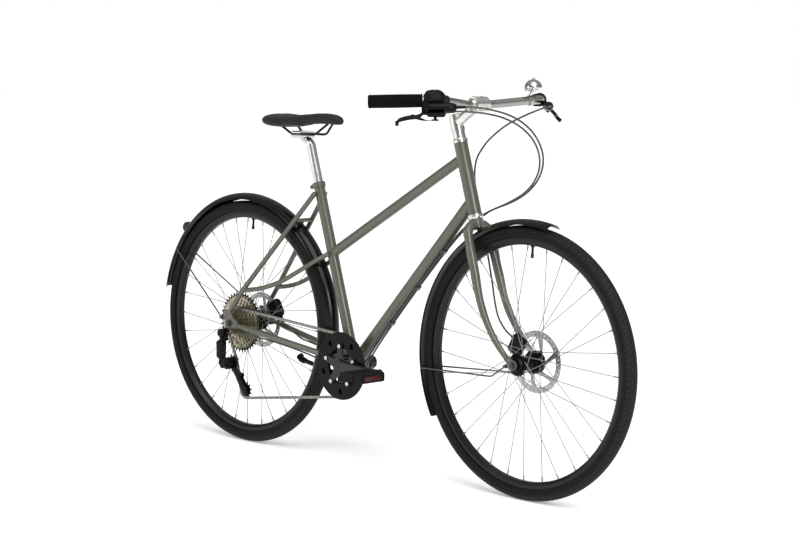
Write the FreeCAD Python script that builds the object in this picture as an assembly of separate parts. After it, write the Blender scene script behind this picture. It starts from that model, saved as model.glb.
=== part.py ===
import FreeCAD, Part
import math
import os

# Hybrid bike with a sloping single top tube and twin mid stays.
# Millimetres. +X runs forward, +Y to the rider's left, +Z up. The tyres stand on Z = 0.

V = FreeCAD.Vector

# Stance and frame geometry
wheelbase = 1067.7
tyre_radius = 349.0
bottom_bracket_drop = 74.0
chainstay_length = 452.0
head_angle = 73.3
seat_angle = 72.7
fork_rake = 71.3
running_gap = 0.05
body_gap = 0.4

# Frame tubes
head_tube_start = 401.2
head_tube_length = 190.1
head_tube_radius = 18.0
head_tube_bore = 16.5
top_tube_radius = 13.5
top_tube_below_head_top = 38.5
top_tube_on_seat_tube = 311.9
down_tube_radius = 16.5
down_tube_above_head_bottom = 35.6
tube_wall = 1.4
seat_tube_radius = 15.0
seat_tube_length = 513.7
shell_radius = 20.5
shell_bore = 17.5
shell_half_width = 34.0
stay_radius = 7.0
chainstay_radius = 8.5
chainstay_inner_spread = 35.0
chainstay_bend_back = 92.0
seat_stay_top = 482.0
seat_stay_top_spread = 20.5
stay_node_back = 51.5
stay_node_up = 98.5
stay_node_spread = 66.5
mid_stay_flare = 44.0
mid_stay_flare_spread = 33.5
mid_stay_curve_back = 111.0
mid_stay_curve_up = 16.5
mid_stay_curve_spread = 54.0

# Rear axle and dropouts
rear_hub_width = 135.0
dropout_thickness = 6.0
axle_radius = 4.95
axle_overhang = 11.0
axle_nut_radius = 9.0
hanger_back = 12.0
hanger_drop = 28.0
eyelet_radius = 2.5
eyelet_boss_radius = 5.5

# Headset, steerer and fork
steerer_radius = 14.3
steerer_bore = 12.4
headset_height = 11.0
headset_radius = 20.0
fork_crown_drop = 16.0
blade_top_radius = 12.0
blade_tip_radius = 7.5
blade_top_spread = 41.0
crown_bend = 26.0
rake_turn = 38.0
blade_tip_turn = 33.8
front_hub_width = 100.0
fork_end_thickness = 6.0
fork_end_radius = 13.0

# Stem and handlebar
stem_clamp_height = 40.0
stem_clamp_radius = 18.5
stem_clamp_base = 622.0
stem_reach = 87.5
stem_rise = 669.6
stem_body_radius = 14.0
spacer_radius = 16.8
bar_radius = 11.1
bar_clamp_radius = 15.9
bar_clamp_half = 24.0
bar_flat_half = 45.0
bar_forward = 47.0
bar_corner_half = 187.0
bar_corner_rise = 13.0
bar_corner_bend = 45.0
bar_sweep = 45.0
bar_tail = 178.0
grip_inner = 47.0
grip_length = 130.0
grip_radius = 16.5

# Levers, shifter and bell
lever_clamp_at = 37.5
lever_clamp_width = 14.0
lever_clamp_radius = 15.5
lever_drop = 42.0
lever_offset = 31.0
lever_length = 70.0
lever_bow = 28.0
lever_hook = 48.0
lever_pivot_radius = 3.0
master_radius = 12.5
master_length = 74.0
hose_boot_length = 22.0
hose_boot_radius = 4.6
hose_fitting_radius = 4.2
shifter_at = 13.0
shifter_drop = 44.0
adjuster_reach = 46.0
adjuster_drop = 28.0
bell_share = 0.78
bell_lean = 9.0
bell_radius = 23.5
bell_lift = 34.0

# Wheels
tyre_section = 19.5
tyre_wall = 4.0
rim_bed = 311.0
rim_flange = 317.2
rim_inner = 300.0
rim_half_width = 12.0
rim_wall = 1.7
valve_radius = 3.1
valve_end = 271.0
front_valve_angle = 87.3
rear_valve_angle = 86.0
spoke_radius = 1.0
nipple_radius = 1.9
nipple_length = 13.0
spokes_per_side = 16
spoke_turn = 67.5
flange_radius = 29.0
spoke_hole_radius = 27.5
flange_half = 1.5
rotor_radius = 80.0
rotor_track = 66.0
rotor_half = 0.95
rotor_arms = 6
front_rotor_y = 39.5
rear_rotor_y = 52.0
bearing_radius = 13.0
bearing_width = 9.0
hub_barrel = 18.0
rotor_seat_radius = 21.0
front_right_flange = -33.0
front_left_flange = 24.0
rear_right_flange = -19.0
rear_left_flange = 34.0
front_hub_right = -43.0
front_caliper_angle = 151.0
rear_caliper_angle = 30.0

# Fenders
front_fender_crown = 365.0
front_fender_edge = 352.0
front_fender_half = 25.5
front_fender_from = 77.0
front_fender_to = 209.0
rear_fender_crown = 371.5
rear_fender_edge = 354.0
rear_fender_half = 24.5
rear_fender_from = -11.0
rear_fender_to = 168.8
fender_wall = 1.6
stay_wire = 2.2
front_stay_angle = 188.0
rear_stay_angle = 147.5
tail_light_angle = 137.0

# Drivetrain
chain_pitch = 12.7
roller_radius = 3.8
link_plate = 0.8
link_height = 7.6
inner_half = 1.1
gullet_radius = 4.05
tooth_height = 3.3
tooth_tip_half = 0.8
cog_teeth = [42, 37, 32, 28, 24, 21, 18, 15, 13, 11]
chain_cog = 21
largest_cog_y = -28.0
cog_step = 3.95
cog_half = 0.7
freehub_radius = 17.5
ring_teeth = 42
ring_half = 0.75
ring_inner = 48.0
guard_radius = 93.0
guard_thickness = 3.0
bolt_circle = 55.0
spider_arms = 5
crank_length = 170.0
spindle_radius = 12.0
cup_radius = 21.0
cup_width = 9.5
crank_face = 84.0
crank_thickness = 13.0
pedal_axle_radius = 5.0
pedal_length = 90.0
pedal_width = 80.0
pedal_height = 26.0
pedal_gap = 8.0
pulley_teeth = 11
guide_back = 14.0
guide_drop = 119.0
cage_length = 94.0
cage_nominal = -48.0
cage_plate = 1.6
link_y = -83.0
link_eye = 6.0
link_half_width = 8.0
link_pin = 2.5

# Seat
post_radius = 13.6
post_bottom = 380.0
post_straight = 622.0
post_setback = 24.0
post_head = 655.0
saddle_length = 267.0
saddle_nose_ahead = 155.6
saddle_above_clamp = 62.8
rail_radius = 3.5
rail_spread = 22.0

# Kickstand
kickstand_pivot_ahead = 386.0
kickstand_pivot_y = 27.0
kickstand_pivot_z = 226.0
kickstand_length = 230.0
kickstand_radius = 7.5
kickstand_folded = V(-0.976, 0.17, 0.095)
kickstand_open = V(0.10, 0.50, -0.86)

# Control cables; the loops are written from the middle of the wheelbase
hose_radius = 2.5
cable_exit = 28.0
cable_side = 4.5
cable_guide_places = [190.0, 330.0, 470.0]
guide_half_length = 6.0
guide_half_width = 9.0
hose_loop = [(505, -84, 982), (516, -35, 966), (522, 12, 939), (525, 46, 903), (526, 63, 860),
             (513, 63, 814), (482, 56, 776), (437, 46, 748), (374, 37, 726), (345, 31.5, 706)]
shift_loop = [(480, -87, 975), (495, -42, 962), (507, 1, 940), (520, 32, 907), (526, 48, 865),
              (516, 53, 821), (489, 44, 779), (438, 33, 748), (373.5, 28, 723), (341, 25, 704)]
front_loop = [(476, 106, 987), (446, 80, 970), (395, 60, 943), (345, 45, 900), (317, 36, 855), (310, 38, 812),
              (309, 46, 770), (314, 54, 722), (326, 52, 682), (346, 45, 643), (359, 45, 594), (374, 46, 527),
              (382, 46, 485), (398, 43, 445)]

# Places that follow from the sizes above
half_bar = wheelbase / 2
rear_reach = rear_fender_crown * math.cos(math.radians(180 - rear_fender_to))
rear_x = (rear_reach - tyre_radius - wheelbase) / 2
front_x = rear_x + wheelbase
axle_z = tyre_radius
mid_x = rear_x + half_bar
bracket_x = rear_x + math.sqrt(chainstay_length ** 2 - bottom_bracket_drop ** 2)
bracket = V(bracket_x, 0, axle_z - bottom_bracket_drop)
rear_axle = V(rear_x, 0, axle_z)
front_axle = V(front_x, 0, axle_z)
up_steer = V(-math.cos(math.radians(head_angle)), 0, math.sin(math.radians(head_angle)))
ahead_steer = V(math.sin(math.radians(head_angle)), 0, math.cos(math.radians(head_angle)))
up_seat = V(-math.cos(math.radians(seat_angle)), 0, math.sin(math.radians(seat_angle)))
ahead_seat = V(math.sin(math.radians(seat_angle)), 0, math.cos(math.radians(seat_angle)))
left = V(0, 1, 0)
up = V(0, 0, 1)
steer_foot = front_axle - ahead_steer * fork_rake
head_tube_end = head_tube_start + head_tube_length
rear_inner = rear_hub_width / 2
front_inner = front_hub_width / 2
chain_y = largest_cog_y - cog_step * cog_teeth.index(chain_cog)
rear_hub_right = largest_cog_y + 2.6


def steer(along, ahead=0.0, side=0.0):
    """A point given along the steering axis, ahead of it and to its left."""
    return steer_foot + up_steer * along + ahead_steer * ahead + left * side


def seat(along, ahead=0.0, side=0.0):
    """A point given along the seat tube from the bottom bracket, ahead of it and to its left."""
    return bracket + up_seat * along + ahead_seat * ahead + left * side


def around(axle, radius, degrees, side=0.0):
    """A point on a circle about an axle; the angle turns from forward to up."""
    turn = math.radians(degrees)
    return axle + V(radius * math.cos(turn), side, radius * math.sin(turn))


def unit(vector):
    return V(vector).normalize()


def cylinder(start, end, radius):
    return Part.makeCylinder(radius, (end - start).Length, start, end - start)


def tube(start, end, outer, inner):
    return cylinder(start, end, outer).cut(cylinder(start, end, inner))


def disc(axle, radius, side_from, side_to):
    """A disc about a Y axle between two Y values."""
    return cylinder(axle + left * side_from, axle + left * side_to, radius)


def cone(start, end, first, last):
    return Part.makeCone(first, last, (end - start).Length, start, end - start)


def solids(*shapes):
    """One group of all the separate solids in the shapes."""
    return Part.makeCompound([solid for shape in shapes for solid in shape.Solids])


def largest(shape):
    """The biggest solid of a shape, which drops the chips that a cut can leave."""
    return max(shape.Solids, key=lambda solid: solid.Volume)


def both_sides(shape):
    """The shape and its mirror image on the other side of the bike."""
    return solids(shape, shape.mirror(V(0, 0, 0), left))


def joined(first, *others):
    return first.fuse(list(others)).removeSplitter()


def turned(profile_points, axle):
    """A solid of revolution about a Y axle from (y, radius) points."""
    points = [axle + V(0, side, radius) for side, radius in profile_points]
    face = Part.Face(Part.makePolygon(points + points[:1]))
    return face.revolve(axle, left, 360)


def plate(points, side_from, side_to):
    """A flat plate with a straight-sided outline in the XZ plane."""
    lifted = [V(point.x, side_from, point.z) for point in points]
    return Part.Face(Part.makePolygon(lifted + lifted[:1])).extrude(left * (side_to - side_from))


def frame_placement(centre, ahead, top):
    """A placement with its Z along ahead and its X nearest to top."""
    z = unit(ahead)
    x = unit(top - z * top.dot(z))
    y = z.cross(x)
    return FreeCAD.Placement(FreeCAD.Matrix(
        x.x, y.x, z.x, centre.x, x.y, y.y, z.y, centre.y, x.z, y.z, z.z, centre.z, 0, 0, 0, 1))


def ring_wire(centre, ahead, radius, top):
    circle = Part.Circle(V(0, 0, 0), V(0, 0, 1), radius).toShape()
    circle.Placement = frame_placement(centre, ahead, top)
    return Part.Wire([circle])


def rounded_rectangle(centre, ahead, top, height, width, corner):
    """A closed wire of four lines and four quarter arcs; height runs along top."""
    h = height / 2
    w = width / 2
    lean = corner * (1 - math.sqrt(0.5))
    edges = []
    for sx, sy in ((1, 1), (-1, 1), (-1, -1), (1, -1)):
        first = V(sx * h, sy * (w - corner), 0)
        middle = V(sx * (h - lean), sy * (w - lean), 0)
        last = V(sx * (h - corner), sy * w, 0)
        if sx * sy < 0:
            first, last = last, first
        edges.append(Part.Arc(first, middle, last).toShape())
    ring = []
    for edge, following in zip(edges, edges[1:] + edges[:1]):
        ring.append(edge)
        ring.append(Part.LineSegment(edge.Vertexes[-1].Point, following.Vertexes[0].Point).toShape())
    wire = Part.Wire(ring)
    wire.Placement = frame_placement(centre, ahead, top)
    return wire


def tapered(points, radii, top):
    """A round limb through points with its own radius at each one."""
    wires = []
    for i, (point, radius) in enumerate(zip(points, radii)):
        before = points[max(i - 1, 0)]
        after = points[min(i + 1, len(points) - 1)]
        wires.append(ring_wire(point, after - before, radius, top))
    return Part.makeLoft(wires, True, False)


def bent_wire(points, radii):
    """Straight runs joined by tangent arcs, with one radius for each inner point."""
    edges = []
    last = points[0]
    for before, corner, after, radius in zip(points, points[1:], points[2:], radii):
        back = unit(before - corner)
        onward = unit(after - corner)
        half = back.getAngle(onward) / 2
        start = corner + back * (radius / math.tan(half))
        end = corner + onward * (radius / math.tan(half))
        middle = corner + unit(back + onward) * (radius / math.sin(half) - radius)
        edges.append(Part.LineSegment(last, start).toShape())
        edges.append(Part.Arc(start, middle, end).toShape())
        last = end
    edges.append(Part.LineSegment(last, points[-1]).toShape())
    return Part.Wire(edges)


def bent_rod(points, radius, bends):
    """A round rod along straight runs and tangent arcs."""
    path = bent_wire(points, bends)
    start = ring_wire(points[0], points[1] - points[0], radius, V(0.31, 0.77, 0.55))
    return path.makePipeShell([start], True, False)


def cable_bends(points):
    """The largest bend that the two runs beside each inner point allow."""
    bends = []
    for before, corner, after in zip(points, points[1:], points[2:]):
        back = before - corner
        onward = after - corner
        run = min(back.Length, onward.Length)
        bends.append(0.45 * run * math.tan(back.getAngle(onward) / 2))
    return bends


def cable(points):
    return bent_rod(points, hose_radius, cable_bends(points))


def pitch_radius(teeth):
    return chain_pitch / (2 * math.sin(math.pi / teeth))


def toothed_disc(axle, teeth, half, side, roller_angle):
    """A sprocket blank: an arc under each roller and a straight-flanked tooth between rollers."""
    pitch = pitch_radius(teeth)
    step = 2 * math.pi / teeth
    edges = []
    base = axle + left * (side - half)
    for i in range(teeth):
        turn = roller_angle + i * step
        out = V(math.cos(turn), 0, math.sin(turn))
        along = V(-math.sin(turn), 0, math.cos(turn))
        roller = base + out * pitch
        low = roller - out * gullet_radius
        dip = out * (-gullet_radius * math.cos(math.radians(75)))
        reach = along * (gullet_radius * math.sin(math.radians(75)))
        tip_turn = turn + step / 2
        tip_out = V(math.cos(tip_turn), 0, math.sin(tip_turn))
        tip_along = V(-math.sin(tip_turn), 0, math.cos(tip_turn))
        tip = base + tip_out * (pitch + tooth_height)
        next_turn = turn + step
        next_out = V(math.cos(next_turn), 0, math.sin(next_turn))
        next_along = V(-math.sin(next_turn), 0, math.cos(next_turn))
        next_dip = next_out * (-gullet_radius * math.cos(math.radians(75)))
        next_start = base + next_out * pitch + next_dip - next_along * (
            gullet_radius * math.sin(math.radians(75)))
        tip_first = tip - tip_along * tooth_tip_half
        tip_last = tip + tip_along * tooth_tip_half
        edges.append(Part.Arc(roller + dip - reach, low, roller + dip + reach).toShape())
        edges.append(Part.LineSegment(roller + dip + reach, tip_first).toShape())
        edges.append(Part.LineSegment(tip_first, tip_last).toShape())
        edges.append(Part.LineSegment(tip_last, next_start).toShape())
    return Part.Face(Part.Wire(edges)).extrude(left * (2 * half))


# Frame

def head_tube():
    return tube(steer(head_tube_start), steer(head_tube_end), head_tube_radius, head_tube_bore)


def head_tube_envelope():
    return cylinder(steer(head_tube_start), steer(head_tube_end), head_tube_radius)


def seat_tube_envelope():
    return cylinder(seat(0), seat(seat_tube_length), seat_tube_radius)


def shell_envelope():
    return disc(bracket, shell_radius, -shell_half_width, shell_half_width)


def top_tube_ends():
    return seat(top_tube_on_seat_tube), steer(head_tube_end - top_tube_below_head_top)


def top_tube():
    rear, front = top_tube_ends()
    whole = tube(rear, front, top_tube_radius, top_tube_radius - tube_wall)
    cut = whole.cut(head_tube_envelope()).cut(seat_tube_envelope())
    return largest(cut)


def down_tube_ends():
    return bracket, steer(head_tube_start + down_tube_above_head_bottom)


def down_tube_frame():
    """The down tube's rear end, its direction and the direction out of its underside."""
    rear, front = down_tube_ends()
    run = unit(front - rear)
    under = V(run.z, 0, -run.x)
    return rear, run, under


def cable_point(along, side=0.0, off=0.0):
    """A point under the down tube where the control cables run."""
    rear, run, under = down_tube_frame()
    return rear + run * along + under * (down_tube_radius + hose_radius + off) + left * side


def down_tube():
    rear, front = down_tube_ends()
    whole = tube(rear, front, down_tube_radius, down_tube_radius - tube_wall)
    cut = whole.cut(head_tube_envelope()).cut(shell_envelope()).cut(seat_tube_envelope())
    body = largest(cut)
    guides = [cable_guide(along) for along in cable_guide_places]
    return solids(body, *guides)


def cable_guide(along):
    """A small brazed block with one hole for each cable, seated on the tube's underside."""
    rear, run, under = down_tube_frame()
    centre = rear + run * along + under * (down_tube_radius + hose_radius)
    outline = rounded_rectangle(
        centre - run * guide_half_length, run, under, 2 * hose_radius + 5, 2 * guide_half_width, 2.0)
    block = Part.Face(outline).extrude(run * (2 * guide_half_length))
    block = block.cut(cylinder(rear + run * (along - 30), rear + run * (along + 30), down_tube_radius))
    for side in (-cable_side, cable_side):
        hole_start = cable_point(along - 20, side)
        hole_end = cable_point(along + 20, side)
        block = block.cut(cylinder(hole_start, hole_end, hose_radius + 0.3))
    return largest(block)


def seat_tube():
    whole = tube(seat(0), seat(seat_tube_length), seat_tube_radius, post_radius + running_gap)
    cut = whole.cut(shell_envelope())
    return largest(cut)


def bottom_bracket_shell():
    return shell_envelope().cut(disc(bracket, shell_bore, -shell_half_width, shell_half_width))


def chainstay_points():
    """Centre line of the left chainstay from the shell to its dropout."""
    tip = rear_axle + V(27, rear_inner + dropout_thickness / 2, -3)
    start = bracket + V(0, chainstay_inner_spread - 4, 6)
    share = chainstay_bend_back / (start.x - tip.x)
    bend = V(start.x - chainstay_bend_back, chainstay_inner_spread, start.z + share * (tip.z - start.z))
    return [start, bend, tip]


def left_chainstay():
    start, bend, tip = chainstay_points()
    run = unit(tip - bend)
    taper_start = tip - run * 70
    body = bent_rod([start, bend, taper_start], chainstay_radius, [160.0])
    end = cone(taper_start, tip, chainstay_radius, 5.5)
    cup_room = disc(bracket, cup_radius + 0.3, shell_half_width, shell_half_width + cup_width)
    whole = joined(body, end).cut(shell_envelope()).cut(cup_room).cut(left_dropout_plate())
    return largest(whole)


def bridge_x():
    return rear_x + rear_fender_crown + 9


def chainstay_bridge():
    start, bend, tip = chainstay_points()
    share = (bend.x - bridge_x()) / (bend.x - tip.x)
    height = bend.z + share * (tip.z - bend.z)
    rod = cylinder(V(bridge_x(), -40, height), V(bridge_x(), 40, height), 6)
    stay = bent_rod([start, bend, tip - unit(tip - bend) * 70], chainstay_radius, [160.0])
    trimmed = rod.cut(both_sides(stay))
    return min(trimmed.Solids, key=lambda solid: abs(solid.CenterOfMass.y))


def chainstays():
    return solids(both_sides(left_chainstay()), chainstay_bridge())


def stay_node():
    return rear_axle + V(stay_node_back, stay_node_spread, stay_node_up)


def seat_stay_points():
    top = seat(seat_stay_top, -5, seat_stay_top_spread)
    tip = rear_axle + V(-6, rear_inner + dropout_thickness / 2, 27)
    return [top, stay_node(), tip]


def seat_stay_rod():
    top, node, tip = seat_stay_points()
    run = unit(tip - node)
    taper_start = tip - run * 45
    body = bent_rod([top, node, taper_start], stay_radius, [140.0])
    cap = Part.makeSphere(stay_radius, top)
    return joined(body, cap, cone(taper_start, tip, stay_radius, 5.0))


def left_seat_stay():
    whole = seat_stay_rod().cut(seat_tube_envelope()).cut(left_dropout_plate())
    return largest(whole)


def mid_stay_points():
    start = seat(top_tube_on_seat_tube, 4, 18.5)
    slope = unit(top_tube_ends()[1] - top_tube_ends()[0])
    flare = start - slope * (mid_stay_flare / slope.x)
    flare = V(flare.x, mid_stay_flare_spread, flare.z)
    node = stay_node()
    curve = V(node.x + mid_stay_curve_back, mid_stay_curve_spread, node.z + mid_stay_curve_up)
    return [start, flare, curve, node]


def left_mid_stay():
    rod = bent_rod(mid_stay_points(), stay_radius - 0.5, [70.0, 420.0])
    cut = rod.cut(seat_tube_envelope()).cut(seat_stay_rod())
    return largest(cut)


def fender_bridge_centre():
    """Where the seat stays pass the crown of the rear fender."""
    top, node, tip = seat_stay_points()
    share = 0.27
    return V(top.x + share * (node.x - top.x), 0, top.z + share * (node.z - top.z))


def seat_stay_bridge():
    centre = fender_bridge_centre()
    rod = cylinder(centre - left * 34, centre + left * 34, 5.5)
    trimmed = rod.cut(both_sides(seat_stay_rod()))
    return min(trimmed.Solids, key=lambda solid: abs(solid.CenterOfMass.y))


def seat_stays():
    return solids(both_sides(left_seat_stay()), both_sides(left_mid_stay()), seat_stay_bridge())


def left_dropout_plate():
    """Left dropout: a plate round the axle with tabs to the two stays and eyelets for fender and rack."""
    inner = rear_inner
    outer = rear_inner + dropout_thickness
    outline = [rear_axle + V(x, 0, z) for x, z in (
        (34, -12), (36, 4), (16, 16), (4, 34), (-12, 34), (-17, 14), (-16, -10), (-6, -17), (8, -16))]
    body = joined(plate(outline, inner, outer), disc(rear_axle, 17, inner, outer))
    eyelet = fender_eyelet_place()
    neck = plate([rear_axle + V(-8, 0, 4), rear_axle + V(-10, 0, 22), eyelet + V(2, 0, 4),
                  eyelet + V(-1, 0, -5)], inner, outer)
    boss = disc(V(eyelet.x, 0, eyelet.z), eyelet_boss_radius, inner, outer)
    rack = rack_eyelet_place()
    arm = plate([rear_axle + V(-8, 0, 34), rear_axle + V(-15, 0, 18), rack + V(-2, 0, -5), rack + V(2, 0, 5)],
                inner, outer)
    rack_boss = disc(V(rack.x, 0, rack.z), eyelet_boss_radius, inner, outer)
    body = joined(body, neck, boss, arm, rack_boss)
    body = body.cut(disc(rear_axle, axle_radius, inner, outer))
    body = body.cut(disc(V(rack.x, 0, rack.z), eyelet_radius, inner, outer))
    return body.cut(disc(V(eyelet.x, 0, eyelet.z), eyelet_radius, inner, outer))


def rack_eyelet_place():
    return rear_axle + V(-25, 0, 33)


def fender_eyelet_place():
    return rear_axle + V(-31, 0, 15)


def hanger_place():
    return rear_axle + V(-hanger_back, 0, -hanger_drop)


def dropouts():
    plate_left = left_dropout_plate()
    plate_right = plate_left.mirror(V(0, 0, 0), left)
    inner = -rear_inner
    outer = -rear_inner - dropout_thickness
    hanger = hanger_place()
    tab = plate([rear_axle + V(8, 0, -12), rear_axle + V(-16, 0, -6), hanger + V(-9, 0, 2),
                 hanger + V(9, 0, -1)], outer, inner)
    tab = joined(tab, disc(V(hanger.x, 0, hanger.z), 9.5, outer, inner))
    tab = tab.cut(disc(rear_axle, 14, outer, inner))
    tab = tab.cut(disc(V(hanger.x, 0, hanger.z), 4.8, outer, inner))
    return solids(plate_left, joined(plate_right, tab))


def headset():
    """Silver cups pressed over the head tube's ends, each with the bearing bore for the steerer."""
    cups = []
    for near, far in ((head_tube_end, head_tube_end + headset_height),
                      (head_tube_start, head_tube_start - headset_height)):
        lip = 0.35 * (far - near)
        cup = cylinder(steer(near), steer(far - lip), headset_radius)
        crown = cone(steer(far - lip), steer(far), headset_radius, headset_radius - 1.6)
        plug = cylinder(steer(near), steer(near - 1.2 * (far - near)), head_tube_bore)
        bore = cylinder(steer(far), steer(near - 1.2 * (far - near)), steerer_radius + running_gap)
        cups.append(joined(cup, crown, plug).cut(bore))
    return solids(*cups)


def bottom_bracket_cups():
    cup = disc(bracket, cup_radius, shell_half_width, shell_half_width + cup_width)
    sleeve = disc(bracket, shell_bore, shell_half_width - 10, shell_half_width)
    bore = disc(bracket, spindle_radius + running_gap, shell_half_width - 10, shell_half_width + cup_width)
    notch_places = range(0, 360, 45)
    body = joined(cup, sleeve).cut(bore)
    for degrees in notch_places:
        place = around(bracket, cup_radius + 0.8, degrees)
        body = body.cut(disc(place, 2.6, shell_half_width + 2, shell_half_width + cup_width))
    return both_sides(body)


def seat_clamp():
    low = seat(seat_tube_length - 14)
    high = seat(seat_tube_length - 1)
    collar = tube(low, high, seat_tube_radius + 3.5, seat_tube_radius)
    middle = seat(seat_tube_length - 7.5, -(seat_tube_radius + 6))
    ears = Part.Face(rounded_rectangle(middle - left * 8, left, up_seat, 12, 11, 3)).extrude(left * 16)
    slot = Part.Face(rounded_rectangle(middle - left * 1.5, left, up_seat, 30, 20, 2)).extrude(left * 3)
    collar = joined(collar, ears.cut(cylinder(low, high, seat_tube_radius + 2))).cut(slot)
    bolt_centre = seat(seat_tube_length - 7.5, -(seat_tube_radius + 7))
    bolt_hole = cylinder(bolt_centre - left * 9, bolt_centre + left * 9, 2.5)
    collar = collar.cut(bolt_hole)
    bolt = joined(cylinder(bolt_centre - left * 8, bolt_centre + left * 8, 2.5),
                  cylinder(bolt_centre + left * 8, bolt_centre + left * 12, 4.2),
                  cylinder(bolt_centre - left * 11, bolt_centre - left * 8, 4.2))
    return solids(collar, bolt)


# Wheels, made once for each axle

def wheel_tyre(axle, valve_angle):
    centre = tyre_radius - tyre_section
    foot = rim_flange + 0.8
    foot_half = math.sqrt(tyre_section ** 2 - (centre - foot) ** 2)
    inner = tyre_section - tyre_wall
    bead_half = rim_half_width - rim_wall - 0.3
    throat = 7.0
    throat_radius = centre - math.sqrt(inner ** 2 - throat ** 2)

    def at(side, radius):
        return axle + V(0, side, radius)

    edges = [Part.Arc(at(-foot_half, foot), at(0, tyre_radius), at(foot_half, foot)).toShape()]
    right_side = [at(foot_half, foot), at(bead_half, foot - 0.4), at(bead_half, rim_bed + 0.3),
                  at(throat, rim_bed + 0.3), at(throat, throat_radius)]
    left_side = [V(point.x, 2 * axle.y - point.y, point.z) for point in reversed(right_side)]
    edges += [Part.LineSegment(a, b).toShape() for a, b in zip(right_side, right_side[1:])]
    cavity = Part.Arc(at(throat, throat_radius), at(0, centre + inner), at(-throat, throat_radius))
    edges.append(cavity.toShape())
    edges += [Part.LineSegment(a, b).toShape() for a, b in zip(left_side, left_side[1:])]
    tyre = Part.Face(Part.Wire(edges)).revolve(axle, left, 360)
    air_tube = Part.makeTorus(centre, inner - 0.3, axle, left)
    stem_root = around(axle, centre - inner + 2, valve_angle)
    stem = cylinder(stem_root, around(axle, valve_end, valve_angle), valve_radius)
    collar_from = around(axle, rim_inner - 0.3, valve_angle)
    collar_to = around(axle, rim_inner - 3.5, valve_angle)
    collar = cylinder(collar_from, collar_to, 6.0)
    return solids(tyre, joined(air_tube, stem, collar))


def wheel_rim(axle, valve_angle):
    w = rim_half_width
    outline = [(-w, rim_flange), (rim_wall - w, rim_flange), (rim_wall - w, rim_bed), (w - rim_wall, rim_bed),
               (w - rim_wall, rim_flange), (w, rim_flange), (w, rim_bed - 3), (w - 4.5, rim_inner + 0.8),
               (w - 7, rim_inner), (7 - w, rim_inner), (4.5 - w, rim_inner + 0.8), (-w, rim_bed - 3)]
    inside = [(rim_wall - w, rim_bed - 1.6), (w - rim_wall, rim_bed - 1.6), (w - rim_wall, rim_bed - 3.6),
              (w - 5.6, rim_inner + 1.8), (5.6 - w, rim_inner + 1.8), (rim_wall - w, rim_bed - 3.6)]
    body = turned(outline, axle).cut(turned(inside, axle))
    hole_top = around(axle, rim_bed + 4, valve_angle)
    hole_foot = around(axle, rim_inner - 4, valve_angle)
    return body.cut(cylinder(hole_top, hole_foot, valve_radius + 0.3))


def wheel_spokes(axle, right_flange, left_flange):
    """Three-cross lacing: every second spoke leads, the others trail, on either face of each flange."""
    rods = []
    pitch = 360 / spokes_per_side
    for flange, side, shift in ((right_flange, -1, 0.0), (left_flange, 1, pitch / 2)):
        for i in range(spokes_per_side):
            lead = 1 if i % 2 == 0 else -1
            face = flange + lead * (flange_half + spoke_radius + 0.95)
            start = around(axle, spoke_hole_radius, shift + i * pitch, face)
            end = around(axle, rim_inner - 0.4, shift + i * pitch + lead * spoke_turn, side * 2.0)
            run = unit(end - start)
            rod = cylinder(start, end - run * nipple_length, spoke_radius)
            nipple = cylinder(end - run * nipple_length, end, nipple_radius)
            rods.append(joined(rod, nipple))
    return solids(*rods)


def hub_with_bearings(axle, outline, right_end, left_end):
    """A hub shell with a through bore and one sealed bearing in each end."""
    shell = turned(outline, axle).cut(disc(axle, bearing_radius, right_end, left_end))
    bearings = []
    for side_from, side_to in ((right_end, right_end + bearing_width), (left_end - bearing_width, left_end)):
        ring = disc(axle, bearing_radius, side_from, side_to)
        bearings.append(ring.cut(disc(axle, axle_radius + running_gap, side_from, side_to)))
    return solids(shell, *bearings)


def wheel_rotor(axle, side, hub_radius):
    """A drilled brake disc: outer track, slanted arms and an inner ring on the hub."""
    body = disc(axle, rotor_radius, side - rotor_half, side + rotor_half)
    tools = [disc(axle, hub_radius, side - 2, side + 2)]
    arm_turn = 360 / rotor_arms
    for i in range(rotor_arms):
        start = i * arm_turn
        inner = [around(axle, hub_radius + 9, start + share * arm_turn) for share in (0.16, 0.5, 0.84)]
        outer = [around(axle, rotor_track - 1, start + 22 + share * arm_turn)
                 for share in (0.90, 0.70, 0.5, 0.30, 0.10)]
        tools.append(plate(inner + outer, side - 2, side + 2))
    for i in range(36):
        radius = rotor_track + 4 + 3.2 * (i % 3)
        hole = around(axle, radius, i * 10)
        tools.append(disc(hole, 1.9, side - 2, side + 2))
    return body.cut(tools)


def front_tyre():
    return wheel_tyre(front_axle, front_valve_angle)


def rear_tyre():
    return wheel_tyre(rear_axle, rear_valve_angle)


def front_rim():
    return wheel_rim(front_axle, front_valve_angle)


def rear_rim():
    return wheel_rim(rear_axle, rear_valve_angle)


def front_spokes():
    return wheel_spokes(front_axle, front_right_flange, front_left_flange)


def rear_spokes():
    return wheel_spokes(rear_axle, rear_right_flange, rear_left_flange)


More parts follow.
